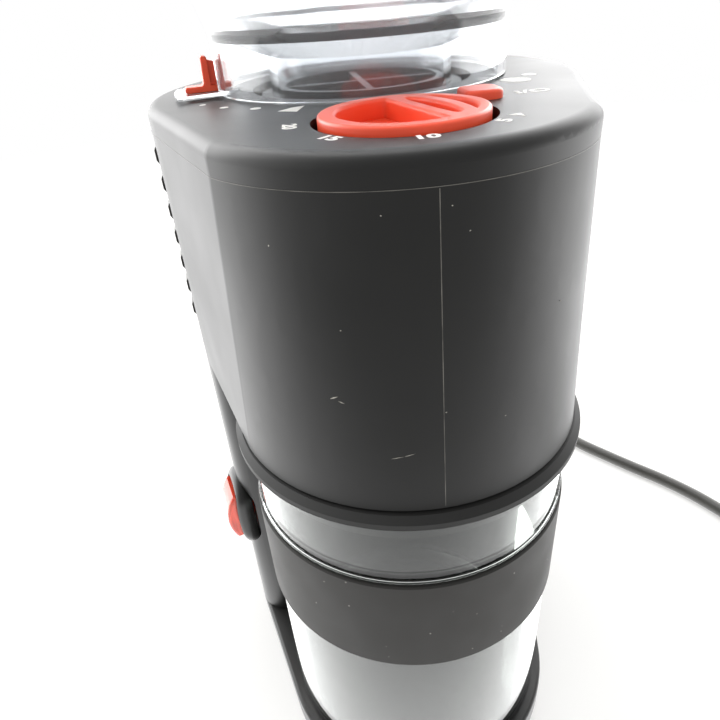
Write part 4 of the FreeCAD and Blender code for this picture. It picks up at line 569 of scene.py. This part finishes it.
DIAL = JAR + Vector((0.0, -12.0, 0.0))
for text, x, y in (("20", -23.7, -41.3), ("15", -16.9, -55.9), ("10", -0.1, -63.1), ("5", 16.6, -56.4)):
    number_mark(text, x, y, math.degrees(math.atan2(DIAL.y - y, -x)) - 90, 2.9)
number_mark("I/O", 33.2, -28.6, 0, 3.6)
flat_mark("mark_arrow", [(-1.0, -1.9), (1.3, 0.0), (-1.0, 1.9), (-0.4, 0.0)], 20.6, -52.6, 48)


def at_burrs(angle, far):
    """A place on the cover, by its angle and distance round the burrs' axis."""
    return BURR.x + far * math.cos(math.radians(angle)), BURR.y + far * math.sin(math.radians(angle))


for name, angle, far, long, wide in (
        ("mark_fine_1", -156.0, 48.4, 1.7, 1.7), ("mark_fine_2", -144.7, 47.0, 2.2, 2.2),
        ("mark_fine_3", -132.5, 45.2, 2.7, 2.7), ("mark_coarse_1", -38.6, 46.0, 8.0, 7.0),
        ("mark_coarse_2", -27.8, 47.6, 4.0, 3.4)):
    pill_mark(name, *at_burrs(angle, far), long, wide, angle)
flat_mark("mark_wedge", [(-3.6, -0.2), (0.6, -3.0), (2.8, 4.0), (-0.4, 2.9)], -21.7, -21.7, 0)
print("printed marks: 12")

# %% [markdown]
# ## Timer dial
# The dial is a shallow cup with a broad, rounded rim. A raised grip with a lens-shaped
# slot lies across it, right of the middle. A flat curve with holes, thickened and
# bevelled, gives exactly this: every edge comes out rounded, as a mould leaves it. The
# grip's direction is turned 15 degrees from straight ahead.

# %% Dial outline
DIAL_TOP, DIAL_FLOOR, DIAL_LOW = 212.4, 208.2, 204.4
grip_turn = math.radians(15.0)


def on_arc(x, y, radius, start, end, count):
    """Points on an arc about a middle, between two angles in degrees."""
    turns = [math.radians(start + (end - start) * i / count) for i in range(count + 1)]
    return [(x + radius * math.cos(a), y + radius * math.sin(a)) for a in turns]


def cup_hole(edge, radius, side, bow):
    """The recess between a line across the dial and its round wall."""
    reach = math.degrees(math.acos(edge / radius))
    if side > 0:
        wall = on_arc(0, 0, radius, -reach, reach, 24)
    else:
        wall = on_arc(0, 0, radius, reach, 360 - reach, 48)
    first, last = Vector(wall[-1]), Vector(wall[0])
    line = [first.lerp(last, i / 12) + Vector((bow * math.sin(math.pi * i / 12), 0.0))
            for i in range(1, 12)]
    return wall + [tuple(p) for p in line]


def flat_solid(name, outlines, low, high, edge, finish, place, body):
    """Flat outlines as a solid with rounded edges: from low to high over its own plane."""
    data = bpy.data.curves.new(name, "CURVE")
    data.dimensions = "2D"
    data.fill_mode = "BOTH"
    for outline in outlines:
        spline = data.splines.new("POLY")
        spline.points.add(len(outline) - 1)
        for knot, (x, y) in zip(spline.points, outline):
            knot.co = (x * mm, y * mm, 0.0, 1.0)
        spline.use_cyclic_u = True
    data.extrude = ((high - low) / 2 - edge) * mm
    data.bevel_depth = edge * mm
    data.bevel_resolution = 3
    data.offset = -edge * mm
    made = bpy.data.objects.new(name, data)
    made.matrix_world = place @ Matrix.Translation((0.0, 0.0, (low + high) / 2 * mm))
    bpy.context.scene.collection.objects.link(made)
    data.materials.append(finish)
    return as_mesh(made, body)


# %% Dial rim, grip and floor
turns = [2 * math.pi * i / 48 for i in range(48)]
lens_slot = [(6.5 + 1.8 * math.sin(a) + 0.85 * math.sin(a) ** 2, 11.3 * math.cos(a)) for a in turns]
on_dial = Matrix.Translation(DIAL * mm) @ Matrix.Rotation(grip_turn, 4, "Z")
dial_rim = flat_solid(
    "dial_rim",
    [on_arc(0, 0, 17.9, 0, 354, 59), cup_hole(2.3, 14.0, -1, 0.0), lens_slot,
     cup_hole(11.3, 14.9, 1, 1.2)], DIAL_FLOOR - 0.4, DIAL_TOP, 0.7, orange_abs, on_dial, "timer")
dial_floor = flat_solid("dial_floor", [on_arc(0, 0, 17.9, 0, 354, 59)], DIAL_LOW, DIAL_FLOOR, 0.3,
                        orange_abs, on_dial, "timer")
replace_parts(dial_rim, "timer_dial")
print("dial pieces: 2")

# %% [markdown]
# ## Start button and pointer
# The button is a low cap with rounded corners. The pointer stands on the hopper's clear
# tab: a foot and an upright rib in one L, a thin fin behind the rib, and a small block
# inside the clear skirt, which shows through it in pink. Drawn from the side as flat
# outlines, they become solids with soft edges, as the dial did.

# %% Button cap and pointer
cap_outline = (on_arc(22.0, -27.2, 3.0, 0, 90, 8) + on_arc(17.8, -26.4, 1.8, 90, 180, 6)
               + on_arc(17.8, -32.0, 1.8, 180, 270, 6) + on_arc(22.0, -31.2, 3.0, 270, 360, 8))
button_cap = flat_solid("button_cap", [cap_outline], 204.6, 212.8, 0.8, orange_abs,
                        Matrix.Identity(4), "start")
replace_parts(button_cap, "start_button")

out = Vector((math.cos(math.radians(189.0)), math.sin(math.radians(189.0)), 0.0))
upright = Matrix((out, (0.0, 0.0, 1.0), (out.y, -out.x, 0.0))).transposed().to_4x4()
on_tab = Matrix.Translation(Vector((0.0, 18.5, 212.42)) * mm) @ upright
rib = [(41.2, 0.0), (49.5, 0.0), (49.9, 0.4), (49.9, 1.2), (49.5, 1.6), (45.3, 1.6), (44.8, 2.2),
       (44.6, 8.3), (44.2, 8.8), (43.3, 8.8), (42.9, 8.3), (42.9, 1.6), (41.2, 1.6)]
pointer = flat_solid("pointer_rib", [rib], -2.2, 2.2, 0.3, orange_abs, on_tab, "hopper")
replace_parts(pointer, "grind_pointer")
flat_solid("pointer_fin", [[(41.15, 1.5), (43.1, 1.5), (43.1, 7.8), (41.15, 7.2)]], -0.9, 0.9, 0.2,
           orange_abs, on_tab, "hopper")
flat_solid("pointer_clip", [[(36.8, 0.6), (38.8, 0.6), (38.8, 7.2), (37.2, 6.6)]], -1.6, 1.6, 0.3,
           orange_abs, on_tab, "hopper")
print("button and pointer pieces: 4")

# %% [markdown]
# ## Bezel of the power switch
# The bezel is an upright oval that stands out from the shell. Its outline fills the hole
# in the shell, and its face is smaller and lower towards both ends, so it looks like a
# lens from in front. Rings of points from the foot, over the face and back down the
# window give that form.

# %% Bezel
BEZEL_W, BEZEL_T, WINDOW_W, WINDOW_T = 10.0, 16.75, 7.05, 11.6


def oval_edge(angle):
    """A point of the bezel's outline, straight sides with round ends, at an angle."""
    x, y = math.cos(angle), math.sin(angle)
    if abs(y) * BEZEL_W <= abs(x) * (BEZEL_T - BEZEL_W):
        far = BEZEL_W / abs(x)
    else:
        middle = (BEZEL_T - BEZEL_W) * abs(y)
        far = middle + math.sqrt(middle ** 2 - (BEZEL_T - BEZEL_W) ** 2 + BEZEL_W ** 2)
    return Vector((x * far, y * far))


def window_edge(angle):
    """A point of the window's outline, a rectangle with soft corners, at an angle."""
    x, y = math.cos(angle), math.sin(angle)
    far = (abs(x / WINDOW_W) ** 8 + abs(y / WINDOW_T) ** 8) ** (-1 / 8)
    return Vector((x * far, y * far))


def switch_bezel():
    """The oval frame round the rocker, in the switch's own place on the left shell."""
    side = Vector((math.cos(math.radians(194.0)), math.sin(math.radians(194.0)), 0.0))
    across = Vector((-side.y, side.x, 0.0))
    mesh = bmesh.new()
    rings = []
    for edge, share, out_by, dome in (
            (oval_edge, 1.0, -2.9, 0.0), (oval_edge, 1.0, 0.9, 0.6), (oval_edge, 0.97, 2.0, 1.3),
            (oval_edge, 0.91, 2.9, 1.8), (oval_edge, 0.84, 3.3, 2.0), (window_edge, 1.05, 3.2, 2.0),
            (window_edge, 1.0, 2.8, 2.0), (window_edge, 1.0, -2.9, 0.0)):
        ring = []
        for i in range(72):
            spot = edge(math.radians(5 * i)) * share
            far = 61.0 + out_by - dome * (spot.y / BEZEL_T) ** 2
            ring.append(mesh.verts.new(
                (Vector((0.0, 18.5, 65.6 + spot.y)) + side * far + across * spot.x) * mm))
        rings.append(ring)
    for ring, after in zip(rings, rings[1:] + rings[:1]):
        for i in range(72):
            j = (i + 1) % 72
            mesh.faces.new((ring[i], ring[j], after[j], after[i])).smooth = True
    bmesh.ops.recalc_face_normals(mesh, faces=mesh.faces)
    return add_piece(mesh, "bezel_frame", "housing", satin_abs)


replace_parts(switch_bezel(), "switch_bezel")
print("bezel: 576 faces")

# %% [markdown]
# ## Bead of the jar
# Above the silicone band the glass swells into a low bead that keeps the band in place.
# It catches the light as one bright line round the jar.

# %% Glass bead
def glass_bead(foot, high, proud):
    """A low round swelling of the glass wall, so many millimetres high and proud."""
    mesh = bmesh.new()
    rings = []
    for i in range(9):
        a = math.radians(180 * i / 8)
        radius, z = 45.72 + proud * math.sin(a), foot + high * (1 - math.cos(a)) / 2
        rings.append([mesh.verts.new(Vector((radius * math.cos(t), JAR.y + radius * math.sin(t), z)) * mm)
                      for t in (2 * math.pi * j / 120 for j in range(120))])
    for ring, after in zip(rings, rings[1:] + rings[:1]):
        for i in range(120):
            j = (i + 1) % 120
            mesh.faces.new((ring[i], ring[j], after[j], after[i])).smooth = True
    bmesh.ops.recalc_face_normals(mesh, faces=mesh.faces)
    return add_piece(mesh, "jar_bead", "jar", jar_glass)


glass_bead(106.1, 1.5, 0.7)
print("bead radius 46.4 mm")

# %% [markdown]
# ## Seams
# Where the top cover meets the two shells, and where the shells meet in front, the
# moulded edges catch the light as a hairline. The lines follow the head's outline: a
# round front, a soft crease, a straight side and the round back. A thin strip stands a
# few hundredths of a millimetre proud, and its pale grey is a painted highlight: the
# light that the edges catch, painted on.

# %% Outline of the head at a height
def arc(centre, radius, start, end, count):
    """Points on an arc between two angles in degrees, each with its way outward."""
    turns = [math.radians(start + (end - start) * i / count) for i in range(count + 1)]
    ways = [Vector((math.cos(a), math.sin(a))) for a in turns]
    return [(Vector(centre) + way * radius, way) for way in ways]


def head_outline(height):
    """Points round the head in millimetres with their ways outward, from its front on."""
    share = (height - 133.0) / 71.3
    front, rear = Vector((0.0, JAR.y + 0.7 + 5.6 * share)), Vector((0.0, BURR.y))
    front_r, rear_r, soft = 47.4, 61.0, 6.0
    crease = math.radians(-(20.0 + 11.0 * share))
    leave = front + Vector((math.cos(crease), math.sin(crease))) * front_r
    gap = rear - leave
    lean = math.atan2(gap.y, gap.x) - math.asin(rear_r / gap.length)
    along = Vector((math.cos(lean), math.sin(lean)))
    inward = Vector((-along.y, along.x))
    base = leave + inward * soft - front
    half = base.dot(along)
    reach = -half - math.sqrt(max(half * half - base.dot(base) + (front_r - soft) ** 2, 0.0))
    centre = leave + inward * soft + along * reach
    turn = math.degrees(math.atan2((centre - front).y, centre.x))
    side = math.degrees(math.atan2(-inward.y, -inward.x))
    spots = arc(front, front_r, -90, turn, 30) + arc(centre, soft, turn, side, 6)[1:]
    spots += arc(rear, rear_r, side, 90, 60)
    return spots + [(Vector((-p.x, p.y)), Vector((-n.x, n.y))) for p, n in spots[-2:0:-1]]


def seam_strip(name, low, high, proud, finish):
    """A strip round the head between two heights, standing a little proud."""
    mesh = bmesh.new()
    rows = []
    for height, out in ((low, -0.25), (low, proud), (high, proud), (high, -0.25)):
        spots = [p + n * out for p, n in head_outline(min(height, 204.3))]
        rows.append([mesh.verts.new(Vector((p.x, p.y, height)) * mm) for p in spots])
    for row, above in zip(rows, rows[1:] + rows[:1]):
        for i in range(len(row)):
            j = (i + 1) % len(row)
            mesh.faces.new((row[i], row[j], above[j], above[i]))
    bmesh.ops.recalc_face_normals(mesh, faces=mesh.faces)
    return add_piece(mesh, name, "housing", finish)


# %% Hairlines
# The strip's pale grey is a painted highlight, standing for the light that the moulded edge catches.
seam_highlight_paint, tree, shader, place = new_material("painted_highlight_ABS_edge", IOR=1.53)
grain(tree, shader, place, "#3a3936", "#6f6d67", (0.35, 0.45), 0.5, 0.01, drift=6)
seam_strip("cover_seam", 204.23, 204.37, 0.04, seam_highlight_paint)


def front_seam():
    """The upright hairline where the two shells meet in front."""
    mesh = bmesh.new()
    rows = []
    for height in [133.6 + 70.4 * i / 12 for i in range(13)]:
        y = head_outline(height)[0][0].y
        spots = [(-0.09, y + 0.2), (0.09, y + 0.2), (0.09, y - 0.04), (-0.09, y - 0.04)]
        rows.append([mesh.verts.new(Vector((px, py, height)) * mm) for px, py in spots])
    for row, above in zip(rows, rows[1:]):
        for i in range(4):
            j = (i + 1) % 4
            mesh.faces.new((row[i], row[j], above[j], above[i]))
    mesh.faces.new(rows[0])
    mesh.faces.new(rows[-1])
    bmesh.ops.recalc_face_normals(mesh, faces=mesh.faces)
    return add_piece(mesh, "front_seam", "housing", seam_highlight_paint)


front_seam()
print("seams: 2")

# %% [markdown]
# ## Scuffs
# The grinder has been used: the photograph shows a scratch, two small scuffs and a few
# pale specks on its front. Each is a sliver a few hundredths of a millimetre proud, all
# of them in one piece.

# %% Scratch, scuffs and specks
SCUFFS = [  # place across and up, length, width (mm), slope (degrees)
    (-22.0, 162.1, 2.2, 0.35, 25), (-20.6, 161.2, 1.6, 0.3, -20), (-10.2, 147.9, 3.0, 0.2, 12),
    (-7.6, 148.5, 2.8, 0.18, 18), (0.5, 158.5, 0.45, 0.3, 0), (5.5, 195.9, 0.4, 0.3, 30),
    (27.8, 175.3, 0.5, 0.3, 0), (-10.3, 200.1, 0.4, 0.3, 0), (-30.7, 193.5, 0.5, 0.35, 60),
    (14.1, 153.9, 0.4, 0.3, 0), (-19.2, 177.8, 0.35, 0.3, 0), (2.2, 200.8, 0.35, 0.3, 0),
]


def scuff_marks():
    """All the slivers as one mesh that lies on the head's round front."""
    mesh = bmesh.new()
    for x, height, long, wide, slope in SCUFFS:
        front_y = JAR.y + 0.7 + 5.6 * (height - 133.0) / 71.3
        away = Vector((x, -math.sqrt(47.4 ** 2 - x ** 2), 0.0)).normalized()
        spot = Vector((0.0, front_y, height)) + away * 47.4
        level = Vector((-away.y, away.x, 0.0))
        tilt = math.radians(slope)
        along = level * math.cos(tilt) + Vector((0, 0, math.sin(tilt)))
        cross = along.cross(away)
        rim = [spot + along * long / 2, spot + cross * wide / 2, spot - along * long / 2,
               spot - cross * wide / 2]
        rim = [mesh.verts.new(p * mm) for p in rim]
        for apex in (mesh.verts.new((spot + away * 0.05) * mm), mesh.verts.new((spot - away * 0.1) * mm)):
            for i in range(4):
                mesh.faces.new((rim[i], rim[(i + 1) % 4], apex))
    bmesh.ops.recalc_face_normals(mesh, faces=mesh.faces)
    return add_piece(mesh, "scuff_marks", "housing", scuffed_abs)


scuffed_abs, tree, shader, place = new_material("scuffed_ABS", IOR=1.53)
grain(tree, shader, place, "#8a8880", "#a9a69d", (0.5, 0.6), 0.5, 0.01, drift=6)
scuff_marks()
print("scuffs:", len(SCUFFS))

# %% [markdown]
# ## Finish
# The colours are shown as they are written, with no film look.

# %% Colour management
bpy.context.scene.view_settings.view_transform = "Standard"
